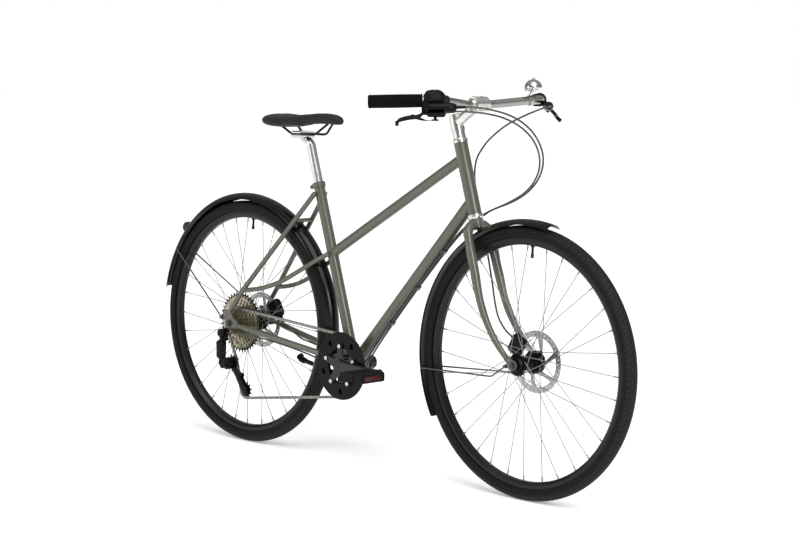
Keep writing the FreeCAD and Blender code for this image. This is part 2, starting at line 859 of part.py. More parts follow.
def hub_outline(right_end, right_flange, left_flange, rotor_y):
    """(y, radius) points of a hub shell from its right end to the rotor seat."""
    f = flange_half
    seat_from = rotor_y - rotor_half
    seat_to = rotor_y + rotor_half
    return [(right_end, 0), (right_end, hub_barrel - 2), (right_flange - f - 4, hub_barrel + 1),
            (right_flange - f, hub_barrel + 3), (right_flange - f, flange_radius),
            (right_flange + f, flange_radius), (right_flange + f, hub_barrel + 3),
            (right_flange + f + 7, hub_barrel), (left_flange - f - 7, hub_barrel),
            (left_flange - f, hub_barrel + 3), (left_flange - f, flange_radius),
            (left_flange + f, flange_radius), (left_flange + f, hub_barrel + 3),
            (seat_from - 4, hub_barrel + 3), (seat_from - 4, rotor_seat_radius + 8),
            (seat_from, rotor_seat_radius + 8), (seat_from, rotor_seat_radius), (seat_to, rotor_seat_radius),
            (seat_to, bearing_radius + 1), (seat_to + 1, bearing_radius + 1), (seat_to + 1, 0)]


def front_hub():
    outline = hub_outline(front_hub_right, front_right_flange, front_left_flange, front_rotor_y)
    return hub_with_bearings(front_axle, outline, front_hub_right, front_rotor_y + rotor_half + 1)


def rear_hub():
    outline = hub_outline(rear_hub_right, rear_right_flange, rear_left_flange, rear_rotor_y)
    return hub_with_bearings(rear_axle, outline, rear_hub_right, rear_rotor_y + rotor_half + 1)


def front_rotor():
    return wheel_rotor(front_axle, front_rotor_y, rotor_seat_radius)


def rear_rotor():
    return wheel_rotor(rear_axle, rear_rotor_y, rotor_seat_radius)


def hex_nut(axle, side_from, side_to, radius):
    points = [around(axle, radius, 60 * i) for i in range(6)]
    return plate(points, side_from, side_to)


def through_axle(axle, inner, thickness, right_collar, left_collar):
    """Axle rod with collars that hold the hub between the dropouts, and a washer and nut at each end."""
    outer = inner + thickness
    rod = disc(axle, axle_radius, -outer - axle_overhang, outer + axle_overhang)
    pieces = [disc(axle, 8.5, -inner, right_collar), disc(axle, 8.5, left_collar, inner)]
    for side in (-1, 1):
        low, high = sorted((side * outer, side * (outer + 1.5)))
        pieces.append(disc(axle, axle_nut_radius + 1.5, low, high))
        low, high = sorted((side * (outer + 1.5), side * (outer + 8.5)))
        pieces.append(hex_nut(axle, low, high, axle_nut_radius))
    return joined(rod, *pieces)


def front_axle_rod():
    return through_axle(front_axle, front_inner, fork_end_thickness, front_hub_right - body_gap,
                        front_rotor_y + rotor_half + 1 + body_gap)


def rear_axle_rod():
    return through_axle(rear_axle, rear_inner, dropout_thickness, cassette_outer_y() - body_gap,
                        rear_rotor_y + rotor_half + 1 + body_gap)


# Fork

def crown_along():
    return head_tube_start - headset_height - fork_crown_drop


def blade_stations():
    """Centre points and radii of the left blade from the crown to just above the axle."""
    top = crown_along()
    points = [steer(top, 0, 4.0), steer(top, 0, blade_top_spread - crown_bend)]
    radii = [blade_top_radius + 1.5, blade_top_radius + 1.0]
    for degrees in (25, 50, 75):
        turn = math.radians(degrees)
        points.append(steer(top - crown_bend + crown_bend * math.cos(turn), 0,
                            blade_top_spread - crown_bend + crown_bend * math.sin(turn)))
        radii.append(blade_top_radius + 0.6)
    tip_spread = front_inner + fork_end_thickness / 2
    bend_radius = fork_rake / (1 - math.cos(math.radians(rake_turn)))
    bend_start = bend_radius * math.sin(math.radians(rake_turn))
    straight_from = top - crown_bend
    total = straight_from
    for along in (straight_from, straight_from - 30, (straight_from + bend_start) / 2, bend_start + 25):
        share = (straight_from - along) / total
        points.append(steer(along, 0, blade_top_spread + share * (tip_spread - blade_top_spread)))
        radii.append(blade_top_radius - 1.2 * share)
    for step in range(6):
        degrees = blade_tip_turn * step / 5
        turn = math.radians(degrees)
        along = bend_start - bend_radius * math.sin(turn)
        share = (straight_from - along) / total
        points.append(steer(along, bend_radius * (1 - math.cos(turn)),
                            blade_top_spread + share * (tip_spread - blade_top_spread)))
        radii.append(blade_top_radius - 1.4 - (blade_top_radius - 1.4 - blade_tip_radius) * (step / 5) ** 0.8)
    return points, radii


def fork_end_axis():
    points, radii = blade_stations()
    return points[-1], unit(points[-1] - points[-2])


def left_blade():
    points, radii = blade_stations()
    return tapered(points, radii, ahead_steer)


def left_fork_end():
    tip, run = fork_end_axis()
    across = V(run.z, 0, -run.x)
    tip_flat = V(tip.x, 0, tip.z)
    inner = front_inner
    outer = front_inner + fork_end_thickness
    neck = plate([tip_flat - run * 16 + across * 5, tip_flat - run * 16 - across * 5,
                  front_axle - across * 11, front_axle + across * 11], inner, outer)
    body = joined(neck, disc(front_axle, fork_end_radius, inner, outer))
    eyelet = fork_eyelet_place()
    arm = plate([front_axle + V(-4, 0, 10), front_axle + V(-12, 0, -2), eyelet + V(0, 0, -5),
                 eyelet + V(3, 0, 5)], inner, outer)
    lug = joined(arm, disc(eyelet, eyelet_boss_radius, inner, outer))
    body = joined(body, lug).cut(disc(front_axle, axle_radius, inner, outer))
    return body.cut(disc(eyelet, eyelet_radius, inner, outer))


def fork_eyelet_place():
    return front_axle + V(-20, 0, -4)


def fork():
    """Steerer, crown, both raked blades and the fork ends as one brazed piece."""
    top = head_tube_start - headset_height - body_gap
    steerer = cylinder(steer(crown_along()), steer(stem_clamp_base + stem_clamp_height - 2), steerer_radius)
    root = cone(steer(crown_along() - 8), steer(top), blade_top_radius + 3, headset_radius - 1.5)
    blade = joined(left_blade(), left_fork_end())
    other = blade.mirror(V(0, 0, 0), left)
    bore = cylinder(steer(crown_along() - 12), steer(stem_clamp_base + stem_clamp_height), steerer_bore)
    body = joined(steerer, root, blade, other).cut(bore)
    return largest(body)


# Stem, handlebar and what is clamped to it

def bar_centre():
    return steer(stem_rise, stem_reach)


def stem():
    """Silver spacers on the steerer, the stem, its cap, front plate and bolts."""
    base = head_tube_end + headset_height + body_gap
    spacer = tube(steer(base), steer(stem_clamp_base - 0.2), spacer_radius, steerer_radius)
    low = steer(stem_clamp_base)
    high = steer(stem_clamp_base + stem_clamp_height)
    centre = bar_centre()
    middle = steer(stem_clamp_base + 0.5 * stem_clamp_height)
    reach = unit(centre - middle)
    arm = tapered([middle, middle + (centre - middle) * 0.5, centre],
                  [stem_body_radius + 1.5, stem_body_radius, stem_body_radius + 2], left)
    barrel_radius = bar_clamp_radius + 4.5
    right_end = centre - left * bar_clamp_half
    left_end = centre + left * bar_clamp_half
    barrel = cylinder(right_end, left_end, barrel_radius)
    body = joined(cylinder(low, high, stem_clamp_radius), arm, barrel)
    body = body.cut(cylinder(low, high, steerer_radius))
    body = body.cut(cylinder(centre - left * 40, centre + left * 40, bar_clamp_radius))
    split = frame_placement(centre + reach * 2.0, left, reach)
    cutter = Part.makeBox(60, 120, 120, V(0, -60, -60))
    cutter.Placement = split
    body = largest(body.cut(cutter))
    front = tube(right_end, left_end, barrel_radius, bar_clamp_radius)
    keep = Part.makeBox(60, 120, 120, V(0, -60, -60))
    keep.Placement = frame_placement(centre + reach * 3.2, left, reach)
    front = front.common(keep)
    lift = unit(reach.cross(left))
    bolts = []
    for side in (-1, 1):
        for rise in (-1, 1):
            place = centre + left * (side * 15) + lift * (rise * (bar_clamp_radius + 2.6))
            front = front.cut(cylinder(place, place + reach * 30, 3.2))
            bolts.append(cylinder(place + reach * 3.4, place + reach * 8.5, 3.1))
    cap = joined(cylinder(high, high + up_steer * 3, stem_clamp_radius - 1),
                 cone(high + up_steer * 3, high + up_steer * 5, stem_clamp_radius - 1, stem_clamp_radius - 4))
    return solids(spacer, body, front, cap, *bolts)


def bar_corner(side):
    return bar_centre() + V(bar_forward, side * bar_corner_half, bar_corner_rise)


def bar_tail_run(side):
    turn = math.radians(bar_sweep)
    return unit(V(-math.sin(turn), side * math.cos(turn), -0.03))


def bar_point(side, along):
    """A point on the straight tail of the bar, measured outwards from its corner."""
    return bar_corner(side) + bar_tail_run(side) * along


def handlebar():
    """Swept bar: a flat middle, rising shoulders, raked tails and a thicker sleeve in the stem's clamp."""
    middle = bar_centre()
    flat = [middle + left * (side * bar_flat_half) for side in (-1, 1)]
    points = [bar_point(-1, bar_tail), bar_corner(-1), flat[0], flat[1], bar_corner(1),
              bar_point(1, bar_tail)]
    rod = bent_rod(points, bar_radius, [bar_corner_bend, 60.0, 60.0, bar_corner_bend])
    sleeve_half = bar_clamp_half + 3
    sleeve = cylinder(middle - left * sleeve_half, middle + left * sleeve_half, bar_clamp_radius)
    collars = [cone(middle + left * (side * sleeve_half), middle + left * (side * (sleeve_half + 6)),
                    bar_clamp_radius, bar_radius - 0.6) for side in (-1, 1)]
    return joined(rod, sleeve, *collars)


def left_grip():
    start = bar_point(1, grip_inner)
    end = bar_point(1, bar_tail + 0.2)
    run = bar_tail_run(1)
    body = cylinder(start, end, grip_radius)
    flange = cylinder(start, start + run * 3, grip_radius + 2.0)
    cap = cylinder(end, end + run * 4, grip_radius + 0.8)
    bore = cylinder(start, end, bar_radius)
    return joined(body, flange).cut(bore).fuse(cap).removeSplitter()


def grips():
    return both_sides(left_grip())


def lever_frame(side):
    """Clamp centre and the lever's own directions: outwards along the bar, and ahead and down."""
    centre = bar_point(side, lever_clamp_at)
    outward = bar_tail_run(side)
    level = unit(V(outward.y * side, -outward.x * side, 0))
    if level.x < 0:
        level = level * -1
    drop = math.radians(lever_drop)
    ahead = unit(level * math.cos(drop) - up * math.sin(drop))
    across = unit(outward.cross(ahead))
    return centre, outward, ahead, across


def lever_pivot(side):
    centre, outward, ahead, across = lever_frame(side)
    return centre + ahead * lever_offset + outward * 2


def hose_start(side):
    """The end of the rubber boot where a brake hose leaves the cylinder."""
    centre, outward, ahead, across = lever_frame(side)
    return centre + ahead * (lever_offset - 5) - outward * (master_length + hose_boot_length)


def left_lever_body():
    """Clamp band and hydraulic cylinder with two ears that hold the lever's pin."""
    centre, outward, ahead, across = lever_frame(1)
    half = lever_clamp_width / 2
    band = cylinder(centre - outward * half, centre + outward * half, lever_clamp_radius)
    neck_outline = rounded_rectangle(centre + ahead * 6, ahead, outward, lever_clamp_width, 17, 4)
    neck = Part.Face(neck_outline).extrude(ahead * 24)
    middle = centre + ahead * (lever_offset - 5)
    master = tapered([middle + outward * 4, middle - outward * 12, middle - outward * 40,
                      middle - outward * (master_length - 6), middle - outward * master_length],
                     [master_radius - 3.5, master_radius, master_radius, master_radius - 2.5, 7.0], across)
    boot = cone(middle - outward * (master_length - 4), hose_start(1), hose_boot_radius, hose_radius + 0.7)
    pivot = lever_pivot(1)
    ear_block = Part.Face(rounded_rectangle(pivot - ahead * 11, ahead, across, 24, 20, 5)).extrude(ahead * 19)
    gap = Part.Face(rounded_rectangle(pivot - ahead * 10, ahead, across, 11, 90, 2)).extrude(ahead * 40)
    body = joined(band, neck, master, boot, ear_block).cut(gap)
    pin = cylinder(pivot - across * 11, pivot + across * 11, lever_pivot_radius)
    bore = cylinder(bar_point(1, 0), bar_point(1, 90), bar_radius)
    body = body.fuse(pin).cut(bore)
    body = body.cut(bar_bend_room(1))
    return largest(body)


def bar_bend_room(side):
    """The bar itself, with a little room, to keep clamped pieces clear of its bends."""
    points = [bar_point(side, bar_tail), bar_corner(side), bar_centre() + left * (side * bar_flat_half),
              bar_centre() + left * (side * 5)]
    return bent_rod(points, bar_radius + 0.02, [bar_corner_bend, 60.0])


def brake_lever_bodies():
    return both_sides(left_lever_body())


def left_lever_blade():
    """Two-finger blade: an eye on the pin, a flat arm that bows away from the grip and a hooked tip."""
    centre, outward, ahead, across = lever_frame(1)
    pivot = lever_pivot(1)
    eye = cylinder(pivot - across * 5, pivot + across * 5, 6.5)

    def section(along, away, height, width):
        place = pivot + outward * along + ahead * away
        return rounded_rectangle(place, outward, across, height, width, 0.3 * min(height, width))

    arm = Part.makeLoft([section(1, 2, 9.6, 9), section(9, 0.6 * lever_bow, 9.0, 9.5),
                         section(20, 0.92 * lever_bow, 9.4, 9),
                         section(0.5 * lever_length, lever_bow, 10.5, 8),
                         section(0.72 * lever_length, 1.12 * lever_bow, 11, 7.5),
                         section(0.88 * lever_length, 0.74 * lever_hook, 10.5, 7),
                         section(lever_length, lever_hook, 10, 7)], True, False)
    tip_centre = pivot + outward * lever_length + ahead * lever_hook
    tip = cylinder(tip_centre - across * 5, tip_centre + across * 5, 4.5)
    blade = joined(eye, arm, tip)
    return blade.cut(cylinder(pivot - across * 12, pivot + across * 12, lever_pivot_radius + running_gap))


def left_brake_lever():
    return left_lever_blade()


def right_brake_lever():
    return left_lever_blade().mirror(V(0, 0, 0), left)


def shifter_frame():
    """Centre of the shifter's clamp on the right of the bar and its own directions."""
    centre, outward, ahead, across = lever_frame(-1)
    return bar_point(-1, shifter_at), outward, ahead, across


def shift_pivot():
    place, outward, ahead, across = shifter_frame()
    return place - up * shifter_drop + outward * 2


def shift_start():
    """The inner end of the shifter's barrel adjuster, where the shift cable leaves it."""
    place, outward, ahead, across = shifter_frame()
    return place - up * adjuster_drop - outward * adjuster_reach


def shifter_body():
    """Trigger shifter under the bar: a rounded case with a gear window on its face."""
    place, outward, ahead, across = shifter_frame()
    level = unit(V(ahead.x, ahead.y, 0))
    case_centre = place - up * (shifter_drop - 16) - level * 2
    case = Part.makeLoft([
        rounded_rectangle(case_centre + up * 13, up * -1, level, 38, 42, 12),
        rounded_rectangle(case_centre + up * 2, up * -1, level, 44, 48, 13),
        rounded_rectangle(case_centre - up * 8, up * -1, level, 43, 47, 13),
        rounded_rectangle(case_centre - up * 13, up * -1, level, 36, 40, 12)], True, False)
    adjuster = cone(case_centre - outward * 18 + level * 2, shift_start(), 5.4, hose_radius + 0.9)
    hanger = Part.Face(rounded_rectangle(place - up * 18, up, level, 24, 13, 4)).extrude(up * 16)
    band = cylinder(place - outward * 5.5, place + outward * 5.5, 14.5)
    pivot = shift_pivot()
    post = cylinder(pivot + up * 4, pivot - up * 6.5, 4.0)
    body = joined(case, adjuster, hanger, band, post).cut(bar_bend_room(-1))
    body = body.cut(both_sides(left_lever_body()))
    return largest(body)


def shift_lever():
    """Thumb paddle on a flat arm that turns on the shifter's post."""
    place, outward, ahead, across = shifter_frame()
    pivot = shift_pivot()
    level = unit(V(ahead.x, ahead.y, 0))
    low = pivot - up * 6.2
    hub = cylinder(low, low + up * 3.6, 9.0)
    reach = unit(outward - level * 0.12)
    arm = Part.makeLoft([rounded_rectangle(low + up * 1.8 + reach * 5, reach, up, 3.0, 14, 1.0),
                         rounded_rectangle(low + up * 2.0 + reach * 26, reach, up, 3.4, 13, 1.2),
                         rounded_rectangle(low + up * 8 + reach * 44, reach, up, 9, 15, 3.5),
                         rounded_rectangle(low + up * 14 + reach * 60, reach, up, 6, 13, 2.5)], True, False)
    body = joined(hub, arm)
    return body.cut(cylinder(low - up * 9, low + up * 9, 4.0 + running_gap))


def bell_seat():
    """The bar point that carries the bell, on the run between the stem and the left corner."""
    start = bar_centre() + left * bar_flat_half
    return start + (bar_corner(1) - start) * bell_share, unit(bar_corner(1) - start)


def bell_foot():
    """The point below the dome's middle, leaning outwards from the clamp."""
    clamp, run = bell_seat()
    return clamp + V(run.x, run.y, 0) * bell_lean


def bell():
    """Clamp band with a short post, and the domed shell on top of it."""
    clamp, run = bell_seat()
    place = bell_foot()
    band = tube(clamp - run * 5, clamp + run * 5, bar_radius + 2.6, bar_radius)
    post = cylinder(clamp + up * (bar_radius + 1), place + up * (bell_lift - 4), 4.0)
    dish = cylinder(place + up * (bell_lift - 7), place + up * (bell_lift - 3), 13.0)
    pivot, back, along = bell_striker_pivot()
    tab_low = place + up * (bell_lift - 10.6)
    tab = Part.Face(rounded_rectangle(tab_low, up, back, 12, 8, 2)).extrude(up * 2.8)
    tab = joined(tab, Part.Face(rounded_rectangle(tab_low + back * 10, up, back, 24, 8, 2)).extrude(up * 2.8))
    pin = cylinder(pivot - up * 4, pivot + up * 3.2, 1.6)
    base = joined(band, post, dish, tab, pin).cut(cylinder(clamp - run * 20, clamp + run * 20, bar_radius))
    rim = place + up * bell_lift
    dome_height = 21.0
    sphere_radius = (bell_radius ** 2 + dome_height ** 2) / (2 * dome_height)
    centre = rim + up * (dome_height - sphere_radius)
    keep = cylinder(rim, rim + up * 40, bell_radius + 10)
    dome = Part.makeSphere(sphere_radius, centre).common(keep)
    hollow = Part.makeSphere(sphere_radius - 1.5, centre).common(keep)
    stalk = cylinder(place + up * (bell_lift - 6), centre + up * (sphere_radius - 1.5), 4.0)
    dome = dome.cut(hollow)
    knob = Part.makeSphere(4.2, centre + up * sphere_radius).common(
        cylinder(centre + up * sphere_radius, centre + up * (sphere_radius + 8), 6))
    return solids(joined(base, stalk), joined(dome, knob))


def bell_striker_pivot():
    clamp, run = bell_seat()
    place = bell_foot()
    back = unit(V(-run.y, run.x, 0))
    if back.x > 0:
        back = back * -1
    return place + up * (bell_lift - 5) + back * 18.5, back, run


def bell_striker():
    """Thumb lever beside the bell, turning on a small upright pin."""
    pivot, back, run = bell_striker_pivot()
    hub = cylinder(pivot - up * 2.4, pivot + up * 2.4, 4.0)
    arm = Part.makeLoft([rounded_rectangle(pivot, back, up, 4.4, 6, 1.5),
                         rounded_rectangle(pivot + back * 12, back, up, 5.0, 7, 1.5),
                         rounded_rectangle(pivot + back * 19, back, up, 11.0, 9, 2.5)], True, False)
    return joined(hub, arm).cut(cylinder(pivot - up * 9, pivot + up * 9, 1.6 + running_gap))


# Brakes

def caliper(axle, rotor_y, degrees, outer_reach):
    """Hydraulic caliper: a rounded block over the rotor's edge with a slot and two pads."""
    centre = around(axle, rotor_radius - 6, degrees, rotor_y)
    radial = unit(around(axle, 10, degrees) - axle)
    tangent = unit(left.cross(radial))
    block = Part.makeLoft([
        rounded_rectangle(centre - left * 13, left, tangent, 44, 34, 9),
        rounded_rectangle(centre - left * 6, left, tangent, 54, 42, 11),
        rounded_rectangle(centre + left * (outer_reach - 7), left, tangent, 54, 42, 11),
        rounded_rectangle(centre + left * outer_reach, left, tangent, 40, 30, 9)], True, False)
    return block.cut(rotor_room(axle, rotor_y)), centre, radial, tangent


def front_caliper():
    body, centre, radial, tangent = caliper(front_axle, front_rotor_y, front_caliper_angle, 11)
    points, radii = blade_stations()
    lugs = []
    for offset in (-20, 20):
        start = centre + radial * 16 + tangent * offset + left * 6
        nearest = min((points[i] + (points[i + 1] - points[i]) * (j / 10) for i in range(6, len(points) - 1)
                       for j in range(10)), key=lambda point: (point - start).Length)
        lugs.append(cylinder(start - unit(nearest - start) * 6, nearest, 6))
    port, outward = front_hose_port()
    fitting = cylinder(port - outward * 16, port, hose_fitting_radius)
    body = joined(body, fitting, *lugs).cut(left_blade()).cut(left_fork_end())
    return largest(body.cut(rotor_room(front_axle, front_rotor_y)))


def front_hose_port():
    """The mouth of the front caliper's hose fitting and the way that it faces."""
    centre = around(front_axle, rotor_radius - 6, front_caliper_angle, front_rotor_y)
    radial = unit(around(front_axle, 10, front_caliper_angle) - front_axle)
    tangent = unit(left.cross(radial))
    return centre + radial * 27 + tangent * 8, radial


def rotor_room(axle, rotor_y):
    """The slot that a rotor turns in, with a little room on both faces."""
    return disc(axle, rotor_radius + 3, rotor_y - rotor_half - 0.7, rotor_y + rotor_half + 0.7)


def rear_caliper():
    body, centre, radial, tangent = caliper(rear_axle, rear_rotor_y, rear_caliper_angle, 11)
    start, bend, tip = chainstay_points()
    run = unit(tip - bend)
    lugs = []
    for back in (46, 78):
        seat_point = tip - run * back
        lugs.append(cylinder(seat_point, V(seat_point.x + 4, rear_rotor_y + 6, centre.z - 14), 5.5))
    before, mouth = rear_brake_route()[-2:]
    fitting = cylinder(mouth, mouth + unit(mouth - before) * 22, hose_fitting_radius)
    body = joined(body, fitting, *lugs).cut(left_chainstay()).cut(left_dropout_plate())
    return largest(body.cut(rotor_room(rear_axle, rear_rotor_y)))


# Fenders

def fender_shell(axle, crown, edge, half, angle_from, angle_to):
    """A thin curved band: an arched section turned about the axle."""
    def section(inset):
        first = axle + V(edge - inset * 0.4, -half, 0)
        middle = axle + V(crown - inset, 0, 0)
        last = axle + V(edge - inset * 0.4, half, 0)
        return first, middle, last

    outer = section(0)
    inner = section(fender_wall)
    edges = [Part.Arc(*outer).toShape(), Part.LineSegment(outer[2], inner[2]).toShape(),
             Part.Arc(inner[2], inner[1], inner[0]).toShape(), Part.LineSegment(inner[0], outer[0]).toShape()]
    face = Part.Face(Part.Wire(edges))
    face.rotate(axle, left, -angle_from)
    return face.revolve(axle, left, angle_from - angle_to)


def front_fender():
    band = fender_shell(front_axle, front_fender_crown, front_fender_edge, front_fender_half,
                        front_fender_from, front_fender_to)
    crown = steer(crown_along(), 0, 0)
    offset = crown - front_axle
    degrees = math.degrees(math.atan2(offset.z, offset.x))
    foot = around(front_axle, front_fender_crown - 1.0, degrees)
    tab = cylinder(foot, crown, 5.0).cut(fork_envelope_at_crown())
    tab = largest(tab)
    shell = disc(front_axle, front_fender_crown - fender_wall * 0.5, -40, 40)
    return joined(band, tab.cut(shell))


def fork_envelope_at_crown():
    top = head_tube_start - headset_height - body_gap
    root = cone(steer(crown_along() - 8), steer(top), blade_top_radius + 3, headset_radius - 1.5)
    return both_sides(left_blade()).fuse(root)


def rear_fender():
    band = fender_shell(rear_axle, rear_fender_crown, rear_fender_edge, rear_fender_half,
                        rear_fender_from, rear_fender_to)
    bridge = fender_bridge_centre()
    offset = bridge - rear_axle
    degrees = math.degrees(math.atan2(offset.z, offset.x))
    foot = around(rear_axle, rear_fender_crown - 1.0, degrees)
    tab = cylinder(foot, bridge, 5.0).cut(seat_stay_bridge())
    tab = largest(tab)
    shell = disc(rear_axle, rear_fender_crown - fender_wall * 0.5, -40, 40)
    low_bridge = chainstay_bridge()
    low_centre = low_bridge.CenterOfMass
    low_offset = low_centre - rear_axle
    low_degrees = math.degrees(math.atan2(low_offset.z, low_offset.x))
    low_foot = around(rear_axle, rear_fender_crown - 1.0, low_degrees)
    low_tab = cylinder(low_foot, V(low_centre.x, 0, low_centre.z), 4.0).cut(low_bridge)
    low_tab = largest(low_tab)
    return joined(band, tab.cut(shell), low_tab.cut(shell))


def fender_edge_point(axle, edge, half, degrees):
    return around(axle, edge - 5, degrees, half + stay_wire * 0.5)


def left_front_stay():
    """Wire from the fork eyelet, down past the fork and back to the fender's edge."""
    eyelet = fork_eyelet_place()
    outer = front_inner + fork_end_thickness
    start = V(eyelet.x, outer + stay_wire, eyelet.z)
    kink = start + V(-54, -9, -33)
    end = fender_edge_point(front_axle, front_fender_edge, front_fender_half, front_stay_angle)
    rod = bent_rod([start, kink, end], stay_wire, [30.0])
    screw = disc(V(eyelet.x, 0, eyelet.z), 4.6, outer, outer + 2 * stay_wire + 2)
    return joined(rod, screw, Part.makeSphere(stay_wire, end))


def front_fender_stays():
    band = fender_shell(front_axle, front_fender_crown, front_fender_edge, front_fender_half,
                        front_fender_from, front_fender_to)
    stay = left_front_stay().cut(band).cut(left_fork_end())
    return both_sides(largest(stay))


def rear_fender_stays():
    band = fender_shell(rear_axle, rear_fender_crown, rear_fender_edge, rear_fender_half,
                        rear_fender_from, rear_fender_to)
    outer = rear_inner + dropout_thickness
    eyelet = fender_eyelet_place()
    begin = V(eyelet.x, outer + stay_wire, eyelet.z)
    end = fender_edge_point(rear_axle, rear_fender_edge, rear_fender_half, rear_stay_angle)
    rod = joined(cylinder(begin, end, stay_wire), Part.makeSphere(stay_wire, end))
    screw = disc(V(eyelet.x, 0, eyelet.z), 4.6, outer, outer + 2 * stay_wire + 2)
    stay = joined(rod, screw).cut(band).cut(left_seat_stay()).cut(left_dropout_plate())
    return both_sides(largest(stay))


def tail_light():
    """Small rear light on the fender's crown with its lens facing back."""
    foot = around(rear_axle, rear_fender_crown + 0.1, tail_light_angle)
    radial = unit(foot - rear_axle)
    tangent = unit(left.cross(radial))
    body = Part.makeLoft([rounded_rectangle(foot - radial * 6, radial, tangent, 26, 32, 6),
                          rounded_rectangle(foot + radial * 8, radial, tangent, 24, 30, 7),
                          rounded_rectangle(foot + radial * 15, radial, tangent, 18, 22, 7)], True, False)
    shell = fender_shell(rear_axle, rear_fender_crown + 0.1, rear_fender_edge + 0.1, rear_fender_half,
                         rear_fender_from, rear_fender_to)
    cut = body.cut(shell)
    return max(cut.Solids, key=lambda solid: (solid.CenterOfMass - rear_axle).Length)


# Drivetrain

def chain_circles(cage_degrees):
    """Chainring, cog, guide pulley and tension pulley: centre, pitch radius and turning sense."""
    guide = guide_centre()
    tension = around(guide, cage_length, cage_degrees)
    return [(bracket, pitch_radius(ring_teeth), 1, ring_teeth),
            (rear_axle, pitch_radius(chain_cog), 1, chain_cog),
            (guide, pitch_radius(pulley_teeth), -1, pulley_teeth),
            (tension, pitch_radius(pulley_teeth), 1, pulley_teeth)]


def guide_centre():
    return rear_axle + V(-guide_back, 0, -guide_drop)


def chain_segments(cage_degrees):
    """The chain's closed line as (length, place function) pieces: straight runs and wrapped arcs."""
    circles = chain_circles(cage_degrees)
    turns = []
    for first, second in zip(circles, circles[1:] + circles[:1]):
        gap = second[0] - first[0]
        offset = first[2] * first[1] - second[2] * second[1]
        span = math.sqrt(gap.x ** 2 + gap.z ** 2 - offset ** 2)
        turns.append((math.atan2(gap.z, gap.x) + math.atan2(offset, span), span))
    segments = []
    for i, circle in enumerate(circles):
        arrive = turns[i - 1][0]
        leave = turns[i][0]
        sense = circle[2]
        sweep = (sense * (leave - arrive)) % (2 * math.pi)
        segments.append(("arc", circle, arrive, sweep))
        segments.append(("run", circle, leave, turns[i][1]))
    return segments


def chain_count(cage_degrees):
    """How many pitches fit round the line, counting whole teeth on the wrapped arcs."""
    count = 0.0
    for kind, circle, turn, size in chain_segments(cage_degrees):
        if kind == "arc":
            count += size * circle[3] / (2 * math.pi)
        else:
            count += size / chain_pitch
    return count


def cage_degrees():
    """Cage angle near its nominal value that closes the chain on an even number of pitches."""
    target = 2 * round(chain_count(cage_nominal) / 2)
    low = cage_nominal - 8
    high = cage_nominal + 8
    rising = chain_count(high) > chain_count(low)
    for _ in range(60):
        middle = (low + high) / 2
        if (chain_count(middle) < target) == rising:
            low = middle
        else:
            high = middle
    return (low + high) / 2, target


def chain_rollers():
    """Roller places round the line: whole pitches along runs and whole teeth round arcs."""
    degrees, count = cage_degrees()
    places = []
    phases = []
    spare = 0.0
    for kind, circle, turn, size in chain_segments(degrees):
        centre, radius, sense, teeth = circle
        step = 2 * math.pi / teeth if kind == "arc" else chain_pitch
        total = size / step
        position = spare
        while position < total - 1e-6:
            if kind == "arc":
                heading = turn + sense * position * step
                out = V(math.sin(heading), 0, -math.cos(heading)) * sense
                places.append(centre + out * radius)
                if position < spare + 0.5:
                    phases.append(math.atan2(out.z, out.x))
            else:
                out = V(math.sin(turn), 0, -math.cos(turn)) * sense
                places.append(centre + out * radius + V(math.cos(turn), 0, math.sin(turn)) * position * step)
            position += 1.0
        spare = position - total
    return places, phases


chain_places, sprocket_phases = chain_rollers()
cage_turn, link_count = cage_degrees()


def link_plate_outline(length, height):
    """Stadium outline of a chain plate along X, centred on the origin."""
    h = height / 2
    s = length / 2
    edges = [Part.LineSegment(V(-s, 0, -h), V(s, 0, -h)).toShape(),
             Part.Arc(V(s, 0, -h), V(s + h, 0, 0), V(s, 0, h)).toShape(),
             Part.LineSegment(V(s, 0, h), V(-s, 0, h)).toShape(),
             Part.Arc(V(-s, 0, h), V(-s - h, 0, 0), V(-s, 0, -h)).toShape()]
    return Part.Face(Part.Wire(edges))


def chain_link(outer, length):
    """An inner link with two rollers, or an outer link with two pins, on the X axis."""
    face = link_plate_outline(length, link_height)
    near = inner_half + (link_plate + 0.1 if outer else 0)
    plates = []
    for side in (-1, 1):
        lifted = face.copy()
        lifted.translate(left * (side * near if side > 0 else side * (near + link_plate)))
        plates.append(lifted.extrude(left * link_plate))
    reach = near + link_plate
    pieces = []
    for end in (-1, 1):
        centre = V(end * length / 2, 0, 0)
        if outer:
            pieces.append(cylinder(centre - left * (reach + 0.1), centre + left * (reach + 0.1), 1.7))
        else:
            pieces.append(cylinder(centre - left * near, centre + left * near, roller_radius))
    body = joined(plates[0], plates[1], *pieces)
    if not outer:
        for end in (-1, 1):
            centre = V(end * length / 2, 0, 0)
            body = body.cut(cylinder(centre - left * 9, centre + left * 9, 1.85))
    return body


def chain():
    links = []
    templates = {}
    for i, start in enumerate(chain_places):
        end = chain_places[(i + 1) % len(chain_places)]
        gap = end - start
        key = (i % 2, round(gap.Length, 2))
        if key not in templates:
            templates[key] = chain_link(i % 2 == 1, gap.Length)
        link = templates[key].copy()
        middle = start + gap * 0.5 + left * chain_y
        turn = -math.degrees(math.atan2(gap.z, gap.x))
        link.Placement = FreeCAD.Placement(middle, FreeCAD.Rotation(left, turn))
        links.append(link)
    return solids(*links)


def cassette_outer_y():
    return largest_cog_y - cog_step * (len(cog_teeth) - 1) - 2.6


